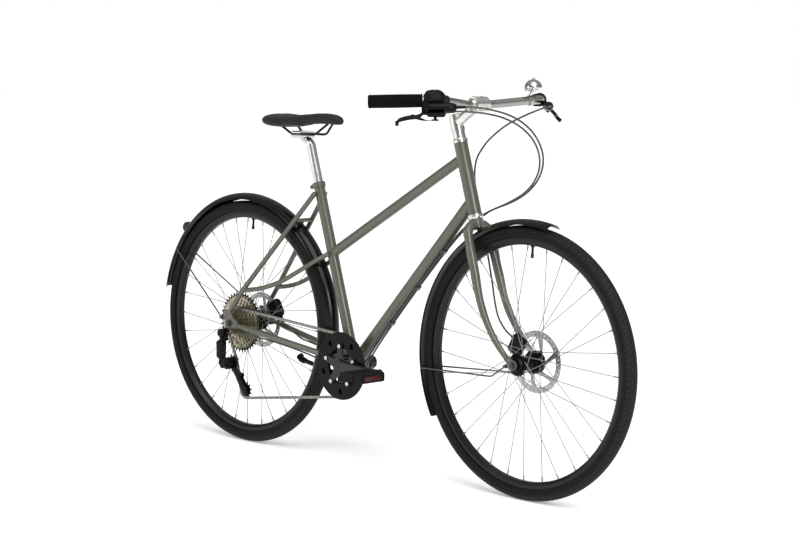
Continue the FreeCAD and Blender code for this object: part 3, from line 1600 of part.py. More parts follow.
def cassette():
    """Ten sprockets on a freehub body that turns on the axle, closed by a lockring."""
    cogs = []
    for i, teeth in enumerate(cog_teeth):
        side = largest_cog_y - cog_step * i
        phase = sprocket_phases[1] if teeth == chain_cog else math.pi / 2
        cog = toothed_disc(rear_axle, teeth, cog_half, side, phase)
        if teeth > 30:
            pitch = pitch_radius(teeth)
            places = [around(rear_axle, 0.66 * pitch, 30 * j + 9 * i) for j in range(12)]
            cog = cog.cut([disc(place, 0.11 * pitch, side - 2, side + 2) for place in places])
        cogs.append(cog)
    inner_y = largest_cog_y + 2.2
    body = disc(rear_axle, freehub_radius, cassette_outer_y(), inner_y)
    whole = joined(body, *cogs)
    return whole.cut(disc(rear_axle, axle_radius + running_gap, cassette_outer_y(), inner_y))


def ring_bolt_places():
    return [around(bracket, bolt_circle, 90 + 360 / spider_arms * i) for i in range(spider_arms)]


def guard_from():
    return chain_y - 3.6


def chainring():
    """Toothed ring and the round guard outside it, held by the same bolts."""
    ring = toothed_disc(bracket, ring_teeth, ring_half, chain_y, sprocket_phases[0])
    ring = ring.cut(disc(bracket, ring_inner, chain_y - 3, chain_y + 3))
    near = guard_from()
    guard = disc(bracket, guard_radius, near - guard_thickness, near)
    guard = guard.cut(disc(bracket, ring_inner + 1, near - guard_thickness, near))
    tools = [disc(place, 5.0, chain_y - 12, chain_y + 6) for place in ring_bolt_places()]
    windows = []
    for i in range(spider_arms):
        centre = around(bracket, 0.5 * (ring_inner + guard_radius), 90 + 360 / spider_arms * (i + 0.5))
        windows.append(disc(centre, 8.0, near - guard_thickness - 1, near + 1))
    return solids(ring.cut(tools), guard.cut(tools + windows))


def crank_arm(side, ahead):
    """One crank arm from its boss on the spindle to the pedal eye; ahead is +1 or -1 along X."""
    inner = crank_face - crank_thickness
    boss_from = shell_half_width + cup_width + body_gap + 0.2
    boss_to = crank_face - 18
    boss = disc(bracket, 19, min(side * boss_from, side * boss_to), max(side * boss_from, side * boss_to))
    run = V(ahead, 0, 0)
    eye_centre = bracket + run * crank_length
    eye = disc(eye_centre, 13.5, min(side * inner, side * crank_face), max(side * inner, side * crank_face))
    root_y = side * (boss_to - 7)
    tip_y = side * (crank_face - crank_thickness / 2)

    def section(share, height, width):
        place = bracket + run * (crank_length * share) + left * (root_y + (tip_y - root_y) * share)
        return rounded_rectangle(place, run, up, height, width, 4.0)

    arm = Part.makeLoft([section(0.0, 34, 13), section(0.3, 29, 12.5), section(0.7, 25, 12),
                         section(1.0, 23, 12)], True, False)
    axle_from = side * (crank_face - 2)
    axle_to = side * (crank_face + pedal_gap + pedal_length - 6)
    axle = disc(eye_centre, pedal_axle_radius, min(axle_from, axle_to), max(axle_from, axle_to))
    collar_to = side * (crank_face + pedal_gap - body_gap)
    collar = disc(eye_centre, 9.0, min(side * crank_face, collar_to), max(side * crank_face, collar_to))
    return joined(boss, eye, arm, axle, collar)


def crank_arms():
    """Right arm with spindle, spider and ring bolts, and the left arm clamped on the spindle."""
    far = crank_face - 18
    right = crank_arm(-1, 1)
    near = guard_from() - guard_thickness
    hub = disc(bracket, 26, near - 5, near)
    arms = []
    for place in ring_bolt_places():
        run = unit(place - bracket)
        across = V(-run.z, 0, run.x)
        arms.append(plate([bracket + across * 13, bracket - across * 13, place + run * 7 - across * 7,
                           place + run * 7 + across * 7], near - 5, near))
        arms.append(disc(place, 4.9, near - 7, chain_y + ring_half))
    spindle = disc(bracket, spindle_radius, -far, far - 2)
    right = joined(right, hub, *arms).fuse(spindle).removeSplitter()
    left_arm = crank_arm(1, -1).cut(disc(bracket, spindle_radius, -far, far - 2))
    return solids(right, left_arm)


def pedal(side, ahead):
    """Block pedal: a sleeve on the axle, two end plates and two ridged rubber blocks."""
    eye = bracket + V(ahead * crank_length, 0, 0)
    start = crank_face + pedal_gap
    end = start + pedal_length

    def slab(low, high):
        return min(side * low, side * high), max(side * low, side * high)

    sleeve = disc(eye, 10.5, *slab(start, end))
    pieces = [sleeve]
    for low, high in ((start + 2, start + 7), (end - 7, end - 2)):
        a, b = slab(low, high)
        outline = rounded_rectangle(eye + left * a, left, up, pedal_height - 4, pedal_width - 6, 6)
        pieces.append(Part.Face(outline).extrude(left * (b - a)))
    a, b = slab(start + 2, end - 2)
    for lean in (-1, 1):
        centre = eye + V(lean * (pedal_width / 2 - 12), 0, 0)
        outline = rounded_rectangle(centre + left * a, left, up, pedal_height, 24, 7)
        block = Part.Face(outline).extrude(left * (b - a))
        grooves = []
        for i in range(4):
            y = a + (b - a) * (i + 1) / 5
            for rise in (-1, 1):
                groove = centre + V(0, y, rise * (pedal_height / 2 + 0.6))
                grooves.append(cylinder(groove - V(20, 0, 0), groove + V(20, 0, 0), 2.6))
        pieces.append(block.cut(grooves))
    body = joined(*pieces)
    return body.cut(disc(eye, pedal_axle_radius + running_gap, *slab(start, end - 5.5)))


def right_pedal():
    return pedal(-1, 1)


def left_pedal():
    return pedal(1, -1)


# Rear derailleur

def link_top():
    hanger = hanger_place()
    return V(hanger.x, link_y, hanger.z - 17)


def link_foot():
    guide = guide_centre()
    return V(guide.x, link_y, guide.z + 15)


def derailleur_body():
    """Upper knuckle on the hanger bolt, with two ears that hold the link's upper pin."""
    hanger = hanger_place()
    top = link_top()
    plate_face = -rear_inner - dropout_thickness
    knuckle = disc(V(hanger.x, 0, hanger.z), 12.5, plate_face - 17, plate_face)
    bolt = disc(V(hanger.x, 0, hanger.z), 4.7, plate_face, -rear_inner - 0.5)
    head = disc(V(hanger.x, 0, hanger.z), 6.5, plate_face - 19, plate_face - 17)
    ears = []
    for side in (-1, 1):
        near = side * (link_half_width + body_gap)
        far = side * (link_half_width + 4.5)
        start = V(top.x + min(near, far), 0, 0)
        outline = [V(0, top.y - 5.5, top.z - 5), V(0, top.y + 5.5, top.z - 5), V(0, top.y + 6.5, hanger.z),
                   V(0, top.y - 6.5, hanger.z)]
        points = [V(start.x, point.y, point.z) for point in outline]
        ears.append(Part.Face(Part.makePolygon(points + points[:1])).extrude(V(abs(far - near), 0, 0)))
    reach = link_half_width + 4.5
    pin = cylinder(top - V(reach, 0, 0), top + V(reach, 0, 0), link_pin)
    saddle = cylinder(V(hanger.x - reach, top.y, hanger.z - 2), V(hanger.x + reach, top.y, hanger.z - 2), 6.4)
    ear = V(link_half_width + body_gap, 0, 0)
    room = cylinder(top - ear, top + ear, link_eye + 1)
    return joined(joined(knuckle, bolt, head, saddle, *ears).cut(room), pin)


def derailleur_link():
    """Outer link of the parallelogram with an eye at each end."""
    top = link_top()
    foot = link_foot()
    across = V(link_half_width, 0, 0)
    eyes = [cylinder(place - across, place + across, link_eye) for place in (top, foot)]
    run = foot - top
    width = 2 * link_half_width
    middle = (top + foot) * 0.5 - left * 1.5
    web = Part.makeLoft([rounded_rectangle(top - up * 2, run, V(1, 0, 0), width, 9, 3),
                         rounded_rectangle(middle, run, V(1, 0, 0), 22, 10, 3.5),
                         rounded_rectangle(foot + up * 2, run, V(1, 0, 0), width, 9, 3)], True, False)
    body = joined(*eyes, web)
    for place in (top, foot):
        body = body.cut(cylinder(place - V(30, 0, 0), place + V(30, 0, 0), link_pin + running_gap))
        for side in (-1, 1):
            face = place + V(side * link_half_width, 0, 0)
            body = body.cut(cylinder(face, place + V(side * 20, 0, 0), link_eye + 5))
    return largest(body)


def cage_outer_face():
    return chain_y - 4.6 - cage_plate


def derailleur_knuckle():
    """Lower knuckle: ears for the link's lower pin and the sprung barrel that carries the cage."""
    guide = guide_centre()
    foot = link_foot()
    barrel = disc(guide, 12.5, link_y - 4, cage_outer_face() - body_gap)
    pivot = disc(guide, 3.5, cage_outer_face() - body_gap, chain_y + 4.4 + cage_plate)
    ears = []
    reach = link_half_width + 4.5
    for side in (-1, 1):
        near = side * (link_half_width + body_gap)
        far = side * reach
        outline = [V(0, foot.y - 5.5, foot.z + 5), V(0, foot.y + 5.5, foot.z + 5),
                   V(0, foot.y + 6.5, guide.z), V(0, foot.y - 6.5, guide.z)]
        points = [V(foot.x + min(near, far), point.y, point.z) for point in outline]
        ears.append(Part.Face(Part.makePolygon(points + points[:1])).extrude(V(abs(far - near), 0, 0)))
    pin = cylinder(foot - V(reach, 0, 0), foot + V(reach, 0, 0), link_pin)
    ear = V(link_half_width + body_gap, 0, 0)
    body = joined(barrel, *ears).cut(cylinder(foot - ear, foot + ear, link_eye + 1))
    return joined(body, pin, pivot)


def tension_centre():
    return around(guide_centre(), cage_length, cage_turn)


def derailleur_cage():
    """Two side plates joined by the lower pulley bolt and a bridge; it turns on the knuckle's pivot."""
    guide = guide_centre()
    tension = tension_centre()
    run = unit(tension - guide)
    across = V(-run.z, 0, run.x)
    inner_face = chain_y + 4.6 + cage_plate
    root = guide + run * (0.52 * cage_length) + across * 4
    tab = root + across * 12
    plates = []
    for near, far in ((cage_outer_face(), chain_y - 4.6), (chain_y + 4.6, inner_face)):
        web = plate([guide + across * 9, guide - across * 9, tension - across * 7, tension + across * 7],
                    near, far)
        arm = plate([root + run * 8, root - run * 8, tab - run * 5, tab + run * 5], near, far)
        web = joined(web, arm, disc(guide, 13, near, far), disc(tension, 11, near, far))
        plates.append(web.cut(disc(guide, 3.5 + running_gap, near, far)))
    bolt = disc(tension, 2.8, cage_outer_face() - 1.5, inner_face + 1.5)
    spacer = disc(tab - across * 4, 3.0, cage_outer_face(), inner_face)
    return joined(plates[0], plates[1], bolt, spacer)


def pulley(centre, bore, phase):
    body = toothed_disc(centre, pulley_teeth, 0.75, chain_y, phase)
    hub = disc(centre, 8.5, chain_y - 4.0, chain_y + 4.0)
    return joined(body, hub).cut(disc(centre, bore + running_gap, chain_y - 5, chain_y + 5))


def guide_pulley():
    return pulley(guide_centre(), 3.5, sprocket_phases[2])


def tension_pulley():
    return pulley(tension_centre(), 2.8, sprocket_phases[3])


# Seat

def post_axis_top():
    return seat(post_straight)


def post_clamp_centre():
    return seat(post_head, -post_setback)


def seatpost():
    """Straight post with a set-back head and a two-piece rail clamp."""
    start = seat(post_bottom)
    head = post_clamp_centre()
    straight = cylinder(start, post_axis_top(), post_radius)
    bend = tapered([seat(post_straight - 8), seat(post_straight + 5, -2),
                    seat(post_head - 14, -post_setback * 0.7), head - up * 3],
                   [post_radius - 0.9, post_radius - 1, post_radius - 2, post_radius - 3.5], left)
    width = 2 * rail_spread
    cradle_end = rounded_rectangle(head - V(19, 0, 2), V(1, 0, 0), left, width + 12, 11, 3)
    body = joined(straight, bend, Part.Face(cradle_end).extrude(V(38, 0, 0)))
    lid_end = rounded_rectangle(head - V(17, 0, -9.5), V(1, 0, 0), left, width + 11, 7, 3)
    lid = Part.Face(lid_end).extrude(V(34, 0, 0))
    rails = saddle_rails()
    return solids(largest(body.cut(rails)), largest(lid.cut(rails)))


def rail_height():
    return post_clamp_centre().z + 4.2


def saddle_nose_x():
    return post_clamp_centre().x + saddle_nose_ahead


def saddle_top_z():
    return post_clamp_centre().z + saddle_above_clamp


def saddle_rails():
    """Two steel rods from the nose of the saddle base, flat through the clamp and up to the rear."""
    nose = saddle_nose_x()
    base = saddle_top_z() - 27
    rods = []
    z = rail_height()
    for side in (-1, 1):
        points = [V(nose - 44, side * 9, base), V(nose - 84, side * rail_spread, z),
                  V(nose - 178, side * rail_spread, z), V(nose - 228, side * 34, base)]
        rods.append(bent_rod(points, rail_radius, [32.0, 32.0]))
    return solids(*rods)


def saddle_section(back, half, top, drop, side_drop):
    """One cross section of the padded cover: flat base, drawn-in sides and a crowned top."""
    x = saddle_nose_x() - back
    crest = saddle_top_z()

    def at(y, z):
        return V(x, y, crest + z)

    low = -drop
    shoulder = top - side_drop
    foot = 0.86 * half
    brow = 0.78 * half
    waist = (low + shoulder) * 0.5
    edges = [Part.LineSegment(at(-foot, low), at(foot, low)).toShape(),
             Part.Arc(at(foot, low), at(half, waist), at(brow, shoulder)).toShape(),
             Part.Arc(at(brow, shoulder), at(0, top), at(-brow, shoulder)).toShape(),
             Part.Arc(at(-brow, shoulder), at(-half, waist), at(-foot, low)).toShape()]
    return Part.Wire(edges)


def saddle():
    """Padded cover over its base, from a narrow nose to the wide tail, dipped along its length."""
    sections = [saddle_section(0, 11, -12, 28, 3.5), saddle_section(12, 18, -6, 31, 5.0),
                saddle_section(70, 24, -5, 33, 6.0), saddle_section(130, 38, -8, 32, 6.5),
                saddle_section(180, 62, -6, 31, 7.0), saddle_section(222, 75, -1, 30, 8.0),
                saddle_section(252, 68, -0.5, 27, 8.0), saddle_section(saddle_length, 46, -4, 24, 6.0)]
    return Part.makeLoft(sections, True, False)


# Kickstand

def kickstand_pivot():
    return V(rear_x + kickstand_pivot_ahead, kickstand_pivot_y, kickstand_pivot_z)


def kickstand_axis():
    return unit(kickstand_folded.cross(kickstand_open))


def kickstand_bracket():
    """Plate clamped under the chainstays with a web and boss that hold the leg's pin."""
    pivot = kickstand_pivot()
    axis = kickstand_axis()
    start, bend, tip = chainstay_points()
    share = (start.x - pivot.x) / (start.x - bend.x)
    stay_low = start.z + share * (bend.z - start.z) - chainstay_radius
    top_end = rounded_rectangle(V(pivot.x - 17, 0, stay_low - 3), V(1, 0, 0), up, 6, 78, 2)
    top = Part.Face(top_end).extrude(V(34, 0, 0))
    boss = cylinder(pivot + axis * 9.4, pivot + axis * 22, 12.0)
    web_height = stay_low - 2 - (pivot.z - 9)
    web_start = V(pivot.x - 13, pivot.y - 17, pivot.z - 9 + web_height / 2)
    web_end = rounded_rectangle(web_start, V(1, 0, 0), up, web_height, 12, 3)
    web = Part.Face(web_end).extrude(V(24, 0, 0))
    pin = cylinder(pivot - axis * 6, pivot + axis * 16, 5.0)
    body = joined(top, web, boss)
    body = body.cut(kickstand_swing_room())
    body = joined(body, pin).cut(both_sides(left_chainstay()))
    for route in (rear_brake_route(), shift_route()):
        body = body.cut(bent_rod(route, hose_radius + 0.3, cable_bends(route)))
    return largest(body)


def kickstand_swing_room():
    """The space that the leg's eye sweeps about its pin."""
    pivot = kickstand_pivot()
    axis = kickstand_axis()
    return cylinder(pivot - axis * 30, pivot + axis * 8.4, 15.5)


def kickstand_leg():
    """Folded leg: an eye on the pin, a slightly bent rod and a rubber-shod foot."""
    pivot = kickstand_pivot()
    axis = kickstand_axis()
    eye = cylinder(pivot - axis * 8, pivot + axis * 8, 11.0)
    run = unit(kickstand_folded)
    end = pivot + run * kickstand_length
    slim = kickstand_radius - 0.8
    rod = tapered([pivot, pivot + run * 60, pivot + run * 150, end],
                  [kickstand_radius + 1.5, kickstand_radius, slim, slim], up)
    foot_run = unit(kickstand_folded + up * 0.55)
    foot = tapered([end - run * 14, end, end + foot_run * 16], [8.5, 9.5, 11.0], left)
    return joined(rod, eye, foot).cut(cylinder(pivot - axis * 20, pivot + axis * 20, 5.0 + running_gap))


# Control cables

def shifted(points):
    """Route points written from the middle of the wheelbase."""
    return [V(x + mid_x, y, z) for x, y, z in points]


def leaving(start, side):
    """The first straight of a cable, in line with the fitting that it leaves."""
    return [start, start - bar_tail_run(side) * cable_exit]


def under_tube_run(side):
    """The straight run along the down tube's underside, through its guides."""
    return [cable_point(540, side), cable_point(110, side)]


def under_shell_run(side):
    """Points round the underside of the shell towards one chainstay; side is +1 or -1."""
    return [bracket + V(24, side * 7, -shell_radius - 4), bracket + V(-12, side * 14, -shell_radius - 4)]


def stay_run(side, inner, outer):
    """A straight run along the underside of one chainstay."""
    start, bend, tip = chainstay_points()
    run = unit(tip - bend)
    points = [bend + run * d + V(0, -1, -chainstay_radius - hose_radius - 0.3) for d in (inner, outer)]
    return [V(point.x, side * point.y, point.z) for point in points]


def rear_brake_route():
    to_caliper = [rear_axle + V(185, 41, -37), rear_axle + V(152, 43, -22), rear_axle + V(118, 45, -4),
                  rear_axle + V(84, 46, 10)]
    return (leaving(hose_start(-1), -1) + shifted(hose_loop) + under_tube_run(cable_side)
            + under_shell_run(1) + stay_run(1, 60, 150) + to_caliper)


def shift_route():
    hanger = hanger_place()
    to_derailleur = [hanger + V(34, link_y + 1, 3), hanger + V(13.5, link_y + 1, 1)]
    return (leaving(shift_start(), -1) + shifted(shift_loop) + under_tube_run(-cable_side)
            + under_shell_run(-1) + stay_run(-1, 60, 235) + to_derailleur)


def rear_cables():
    """Rear brake hose and shift cable: from the right of the bar, round the head tube to the rear."""
    return solids(cable(rear_brake_route()), cable(shift_route()))


def front_brake_hose():
    """Front brake hose: from the left of the bar, behind the left fork blade to the caliper's port."""
    port, outward = front_hose_port()
    route = leaving(hose_start(1), 1) + shifted(front_loop) + [port + outward * 24, port]
    return solids(cable(route))


makers = {
    "head_tube": head_tube,
    "top_tube": top_tube,
    "down_tube": down_tube,
    "seat_tube": seat_tube,
    "bottom_bracket_shell": bottom_bracket_shell,
    "chainstays": chainstays,
    "seat_stays": seat_stays,
    "dropouts": dropouts,
    "headset": headset,
    "bottom_bracket_cups": bottom_bracket_cups,
    "seat_clamp": seat_clamp,
    "rear_fender": rear_fender,
    "rear_fender_stays": rear_fender_stays,
    "tail_light": tail_light,
    "rear_caliper": rear_caliper,
    "rear_axle": rear_axle_rod,
    "derailleur_body": derailleur_body,
    "kickstand_bracket": kickstand_bracket,
    "chain": chain,
    "rear_cables": rear_cables,
    "fork": fork,
    "stem": stem,
    "handlebar": handlebar,
    "grips": grips,
    "brake_lever_bodies": brake_lever_bodies,
    "shifter_body": shifter_body,
    "bell": bell,
    "front_fender": front_fender,
    "front_fender_stays": front_fender_stays,
    "front_caliper": front_caliper,
    "front_axle": front_axle_rod,
    "front_brake_hose": front_brake_hose,
    "front_tyre": front_tyre,
    "front_rim": front_rim,
    "front_spokes": front_spokes,
    "front_hub": front_hub,
    "front_rotor": front_rotor,
    "rear_tyre": rear_tyre,
    "rear_rim": rear_rim,
    "rear_spokes": rear_spokes,
    "rear_hub": rear_hub,
    "rear_rotor": rear_rotor,
    "cassette": cassette,
    "crank_arms": crank_arms,
    "chainring": chainring,
    "right_pedal": right_pedal,
    "left_pedal": left_pedal,
    "right_brake_lever": right_brake_lever,
    "left_brake_lever": left_brake_lever,
    "shift_lever": shift_lever,
    "bell_striker": bell_striker,
    "derailleur_link": derailleur_link,
    "derailleur_knuckle": derailleur_knuckle,
    "derailleur_cage": derailleur_cage,
    "guide_pulley": guide_pulley,
    "tension_pulley": tension_pulley,
    "saddle": saddle,
    "saddle_rails": saddle_rails,
    "seatpost": seatpost,
    "kickstand_leg": kickstand_leg,
}

os.makedirs("parts", exist_ok=True)
for name, make in makers.items():
    shape = make()
    if not shape.isValid() or not shape.Solids:
        print("check", name, "valid", shape.isValid(), "solids", len(shape.Solids))
    shape.exportStep("parts/" + name + ".step")
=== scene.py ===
"""Dresses the hybrid bike.

Every CAD piece gets a finish, and the soft, bending and small pieces are made here as surfaces.
"""
import math

import bpy
import numpy as np
from mathutils import Matrix, Vector


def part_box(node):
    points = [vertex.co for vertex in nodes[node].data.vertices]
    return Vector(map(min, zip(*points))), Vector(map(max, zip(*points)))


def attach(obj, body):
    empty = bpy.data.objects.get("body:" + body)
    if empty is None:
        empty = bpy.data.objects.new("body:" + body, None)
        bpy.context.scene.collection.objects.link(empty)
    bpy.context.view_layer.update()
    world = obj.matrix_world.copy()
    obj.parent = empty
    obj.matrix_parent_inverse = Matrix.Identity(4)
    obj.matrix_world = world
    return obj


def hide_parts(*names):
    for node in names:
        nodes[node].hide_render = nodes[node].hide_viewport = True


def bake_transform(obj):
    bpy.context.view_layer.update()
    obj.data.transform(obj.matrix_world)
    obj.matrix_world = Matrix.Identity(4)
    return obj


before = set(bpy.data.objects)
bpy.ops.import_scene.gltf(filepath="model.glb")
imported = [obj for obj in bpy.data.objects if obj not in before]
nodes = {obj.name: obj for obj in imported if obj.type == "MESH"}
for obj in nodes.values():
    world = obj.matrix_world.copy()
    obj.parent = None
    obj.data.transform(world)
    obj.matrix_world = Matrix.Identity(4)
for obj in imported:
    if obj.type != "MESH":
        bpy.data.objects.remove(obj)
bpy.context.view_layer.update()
scene = bpy.context.scene

UP = np.array([0.0, 0.0, 1.0])
RIGHT = np.array([0.0, -1.0, 0.0])

# Places and sizes shared with the CAD model, in metres
MID_X = 0.00771
FRONT_AXLE = np.array([0.541562, 0.0, 0.349])
REAR_AXLE = np.array([-0.526138, 0.0, 0.349])
BRACKET = np.array([-0.080236, 0.0, 0.275])
CRANK_LENGTH = 0.170
PEDAL_MIDDLE_Y = 0.137
PEDAL_FACE = 0.0400
HOSE_RADIUS = 0.0025
DOWN_TUBE_RUN = np.array([0.671926, 0.0, 0.740618])
DOWN_TUBE_SKIN = 0.0171
LARGEST_COG_INNER = 0.0772
TYRE_CROWN = 0.3345
VALVE_TIP = 0.2785
ROTOR_BOLT_CIRCLE = 0.0255
RING_BOLT_CIRCLE = 0.055
RING_BOLT_Y = -0.06135
BAR_CORNER = np.array([0.411663, -0.187, 1.008013])
BAR_TAIL_RUN = np.array([-0.706789, -0.706789, -0.029987])
BAR_INWARD_RUN = np.array([-0.313066, 0.945857, -0.086593])
HANGER_BOLT = np.array([-0.538138, -0.0905, 0.321])
GUIDE_PULLEY = np.array([-0.540138, -0.04775, 0.230])
TENSION_PULLEY = np.array([-0.479774, -0.04775, 0.157943])

# The camera: yaw, pitch and roll in degrees, its place in metres, lens and sensor in millimetres
CAMERA_ANGLES = (134.7814, -5.9240, 0.7084)
CAMERA_PLACE = (3.82993 + MID_X, -3.77751, 1.10856)
CAMERA_LENS = 90.29
SENSOR_WIDTH = 36.0


# Camera

def photo_camera():
    """Forward is yaw then pitch, and the roll turns the camera's right and top about it."""
    yaw, pitch, roll = (math.radians(value) for value in CAMERA_ANGLES)
    ahead = Vector((math.cos(pitch) * math.cos(yaw), math.cos(pitch) * math.sin(yaw), math.sin(pitch)))
    right = Vector((math.sin(yaw), -math.cos(yaw), 0.0))
    top = right.cross(ahead)
    rolled_right = right * math.cos(roll) + top * math.sin(roll)
    rolled_top = top * math.cos(roll) - right * math.sin(roll)
    data = bpy.data.cameras.new("photo_camera")
    data.sensor_width = SENSOR_WIDTH
    data.lens = CAMERA_LENS
    data.clip_end = 100.0
    camera = bpy.data.objects.new("photo_camera", data)
    turn = Matrix((rolled_right, rolled_top, -ahead)).transposed().to_4x4()
    camera.matrix_world = Matrix.Translation(CAMERA_PLACE) @ turn
    scene.collection.objects.link(camera)
    scene.camera = camera


photo_camera()


# Surfaces from rings of points

def full_turn(count):
    """Evenly spaced angles round one turn, in radians."""
    return np.linspace(0, 2 * np.pi, count, endpoint=False)


def signed_power(value, power):
    """The size of each value raised to a power, with the value's own sign."""
    return np.sign(value) * np.abs(value) ** power


def helper_axis(direction):
    """A direction that is not close to the given one: up, or X where that one is steep."""
    return UP if abs(direction[2]) < 0.9 else np.array([1.0, 0.0, 0.0])


def ring_quads(rings, count):
    """Quads between each ring of points and the next, joined round the ring."""
    a, b = np.meshgrid(np.arange(rings - 1), np.arange(count), indexing="ij")
    after = (b + 1) % count
    here = a * count
    above = (a + 1) * count
    return np.stack([here + b, above + b, above + after, here + after], axis=-1).reshape(-1, 4)


def cap_faces(ring, centre):
    """Triangles from a closed ring of point numbers to one centre point."""
    return np.stack([ring, np.roll(ring, -1), np.full(len(ring), centre)], axis=-1)


def closed_tube(grid):
    """Points and faces of a tube given as rings of points, with a fan over each end."""
    rings, count, _ = grid.shape
    points = np.concatenate([grid.reshape(-1, 3), grid[0].mean(0)[None], grid[-1].mean(0)[None]])
    first = np.arange(count)
    last = first + (rings - 1) * count
    faces = [ring_quads(rings, count), cap_faces(first, rings * count), cap_faces(last, rings * count + 1)]
    return points, faces


def joined_parts(parts):
    """Several (points, faces) shapes as one, with the later point numbers moved up."""
    points = []
    faces = []
    total = 0
    for part_points, part_faces in parts:
        points.append(part_points)
        faces += [block + total for block in part_faces]
        total += len(part_points)
    return np.concatenate(points), faces


def piece_from(name, points, faces, material):
    """One smooth mesh object at the origin from a point array and a list of face arrays, facing outwards."""
    mesh = bpy.data.meshes.new(name)
    mesh.from_pydata(points.tolist(), [], [row for block in faces for row in block.tolist()])
    mesh.validate()
    obj = bpy.data.objects.new(name, mesh)
    scene.collection.objects.link(obj)
    bpy.context.view_layer.objects.active = obj
    for other in bpy.context.selected_objects:
        other.select_set(False)
    obj.select_set(True)
    bpy.ops.object.mode_set(mode="EDIT")
    bpy.ops.mesh.select_all(action="SELECT")
    bpy.ops.mesh.normals_make_consistent(inside=False)
    bpy.ops.object.mode_set(mode="OBJECT")
    mesh.polygons.foreach_set("use_smooth", np.full(len(mesh.polygons), True))
    mesh.materials.append(material)
    return obj


def frames_along(path):
    """Tangent, side and top at each path point; the side is carried along without twist."""
    ahead = np.gradient(path, axis=0)
    ahead /= np.linalg.norm(ahead, axis=1, keepdims=True)
    side = np.zeros_like(path)
    current = np.cross(ahead[0], helper_axis(ahead[0]))
    for i, direction in enumerate(ahead):
        current = current - direction * current.dot(direction)
        current /= np.linalg.norm(current)
        side[i] = current
    return ahead, side, np.cross(ahead, side)


def tube_along(path, radius, sides=14):
    """A circle of one radius carried along a path."""
    _, side, top = frames_along(path)
    turn = full_turn(sides)
    ring = side[:, None] * np.cos(turn)[None, :, None] + top[:, None] * np.sin(turn)[None, :, None]
    return closed_tube(path[:, None] + ring * radius)


def turned_about(origin, axis, along, radius, sides):
    """A profile of distances along the axis and radii there, turned about the axis through the origin."""
    axis = np.asarray(axis, float) / np.linalg.norm(axis)
    side = np.cross(axis, helper_axis(axis))
    side /= np.linalg.norm(side)
    top = np.cross(axis, side)
    turn = full_turn(sides)
    ring = np.cos(turn)[:, None] * side + np.sin(turn)[:, None] * top
    return closed_tube(origin + along[:, None, None] * axis + radius[:, None, None] * ring[None])


def heads_on_circle(centre, circle, degrees, axis, along, radius, sides):
    """The same turned head at each of the given turns on a circle about a centre, in the X and Z plane."""
    parts = []
    for turn in map(math.radians, degrees):
        place = centre + np.array([circle * math.cos(turn), 0.0, circle * math.sin(turn)])
        parts.append(turned_about(place, axis, along, radius, sides))
    return joined_parts(parts)


def rounded_slab(centre, axes, halves, squareness):
    """A superellipsoid: each coordinate is a signed power of sine and cosine, so its edges are rounded."""
    u = np.linspace(-np.pi / 2, np.pi / 2, 14)[:, None]
    v = full_turn(28)[None, :]
    power = 2.0 / squareness
    level = signed_power(np.cos(u), power)
    x = level * signed_power(np.cos(v), power)
    y = level * signed_power(np.sin(v), power)
    z = signed_power(np.sin(u), power) * np.ones_like(v)
    grid = (centre + x[..., None] * halves[0] * axes[0] + y[..., None] * halves[1] * axes[1]
            + z[..., None] * halves[2] * axes[2])
    return closed_tube(grid[1:-1])


def oval_sweep(line, level, rise, widths, heights):
    """A rounded section carried along a line: a squared-off ellipse across the level and rise directions."""
    squared = 0.75
    turn = full_turn(44)
    c = signed_power(np.cos(turn), squared)
    s = signed_power(np.sin(turn), squared)
    level = np.broadcast_to(level, line.shape)
    rise = np.broadcast_to(rise, line.shape)
    grid = (line[:, None] + level[:, None] * (widths[:, None] * c)[..., None]
            + rise[:, None] * (heights[:, None] * s)[..., None])
    return closed_tube(grid)


def closing_ends(t, first, last, least, power):
    """A share that is 1 along the middle and falls to a least value over the first and last parts of t."""
    return np.clip(np.minimum(t / first, (1 - t) / last), least, 1) ** power


def smooth_between(places, values, at):
    """A cubic through the values at the places, with each slope taken from the neighbours, read at points."""
    slope = np.gradient(values, places)
    i = np.clip(np.searchsorted(places, at, side="right") - 1, 0, len(places) - 2)
    span = places[i + 1] - places[i]
    t = (at - places[i]) / span
    from_value = 2 * t ** 3 - 3 * t ** 2 + 1
    from_slope = t ** 3 - 2 * t ** 2 + t
    to_value = -2 * t ** 3 + 3 * t ** 2
    to_slope = t ** 3 - t ** 2
    return (from_value * values[i] + from_slope * span * slope[i] + to_value * values[i + 1]
            + to_slope * span * slope[i + 1])


def spline_points(name, route, steps):
    """Points read from one smooth open spline that has the route's points as its control points."""
    curve = bpy.data.curves.new(name, "CURVE")
    curve.dimensions = "3D"
    curve.resolution_u = steps
    spline = curve.splines.new("NURBS")
    spline.points.add(len(route) - 1)
    spline.points.foreach_set("co", np.column_stack([route, np.ones(len(route))]).ravel())
    spline.order_u = 3
    spline.use_endpoint_u = True
    holder = bpy.data.objects.new(name, curve)
    scene.collection.objects.link(holder)
    bpy.context.view_layer.update()
    line = bpy.data.meshes.new_from_object(holder)
    found = np.zeros(len(line.vertices) * 3)
    line.vertices.foreach_get("co", found)
    bpy.data.objects.remove(holder)
    bpy.data.curves.remove(curve)
    bpy.data.meshes.remove(line)
    return found.reshape(-1, 3)


# Shared shader effects

def srgb(red, green, blue):
    """A colour as seen on screen, 0 to 255, as the linear values that shaders take."""
    def linear(value):
        """One channel by the screen's own curve: straight near black, then a power."""
        value /= 255
        return value / 12.92 if value <= 0.04045 else ((value + 0.055) / 1.055) ** 2.4
    return linear(red), linear(green), linear(blue), 1.0


def grey(level):
    """A grey as seen on screen."""
    return srgb(level, level, level)


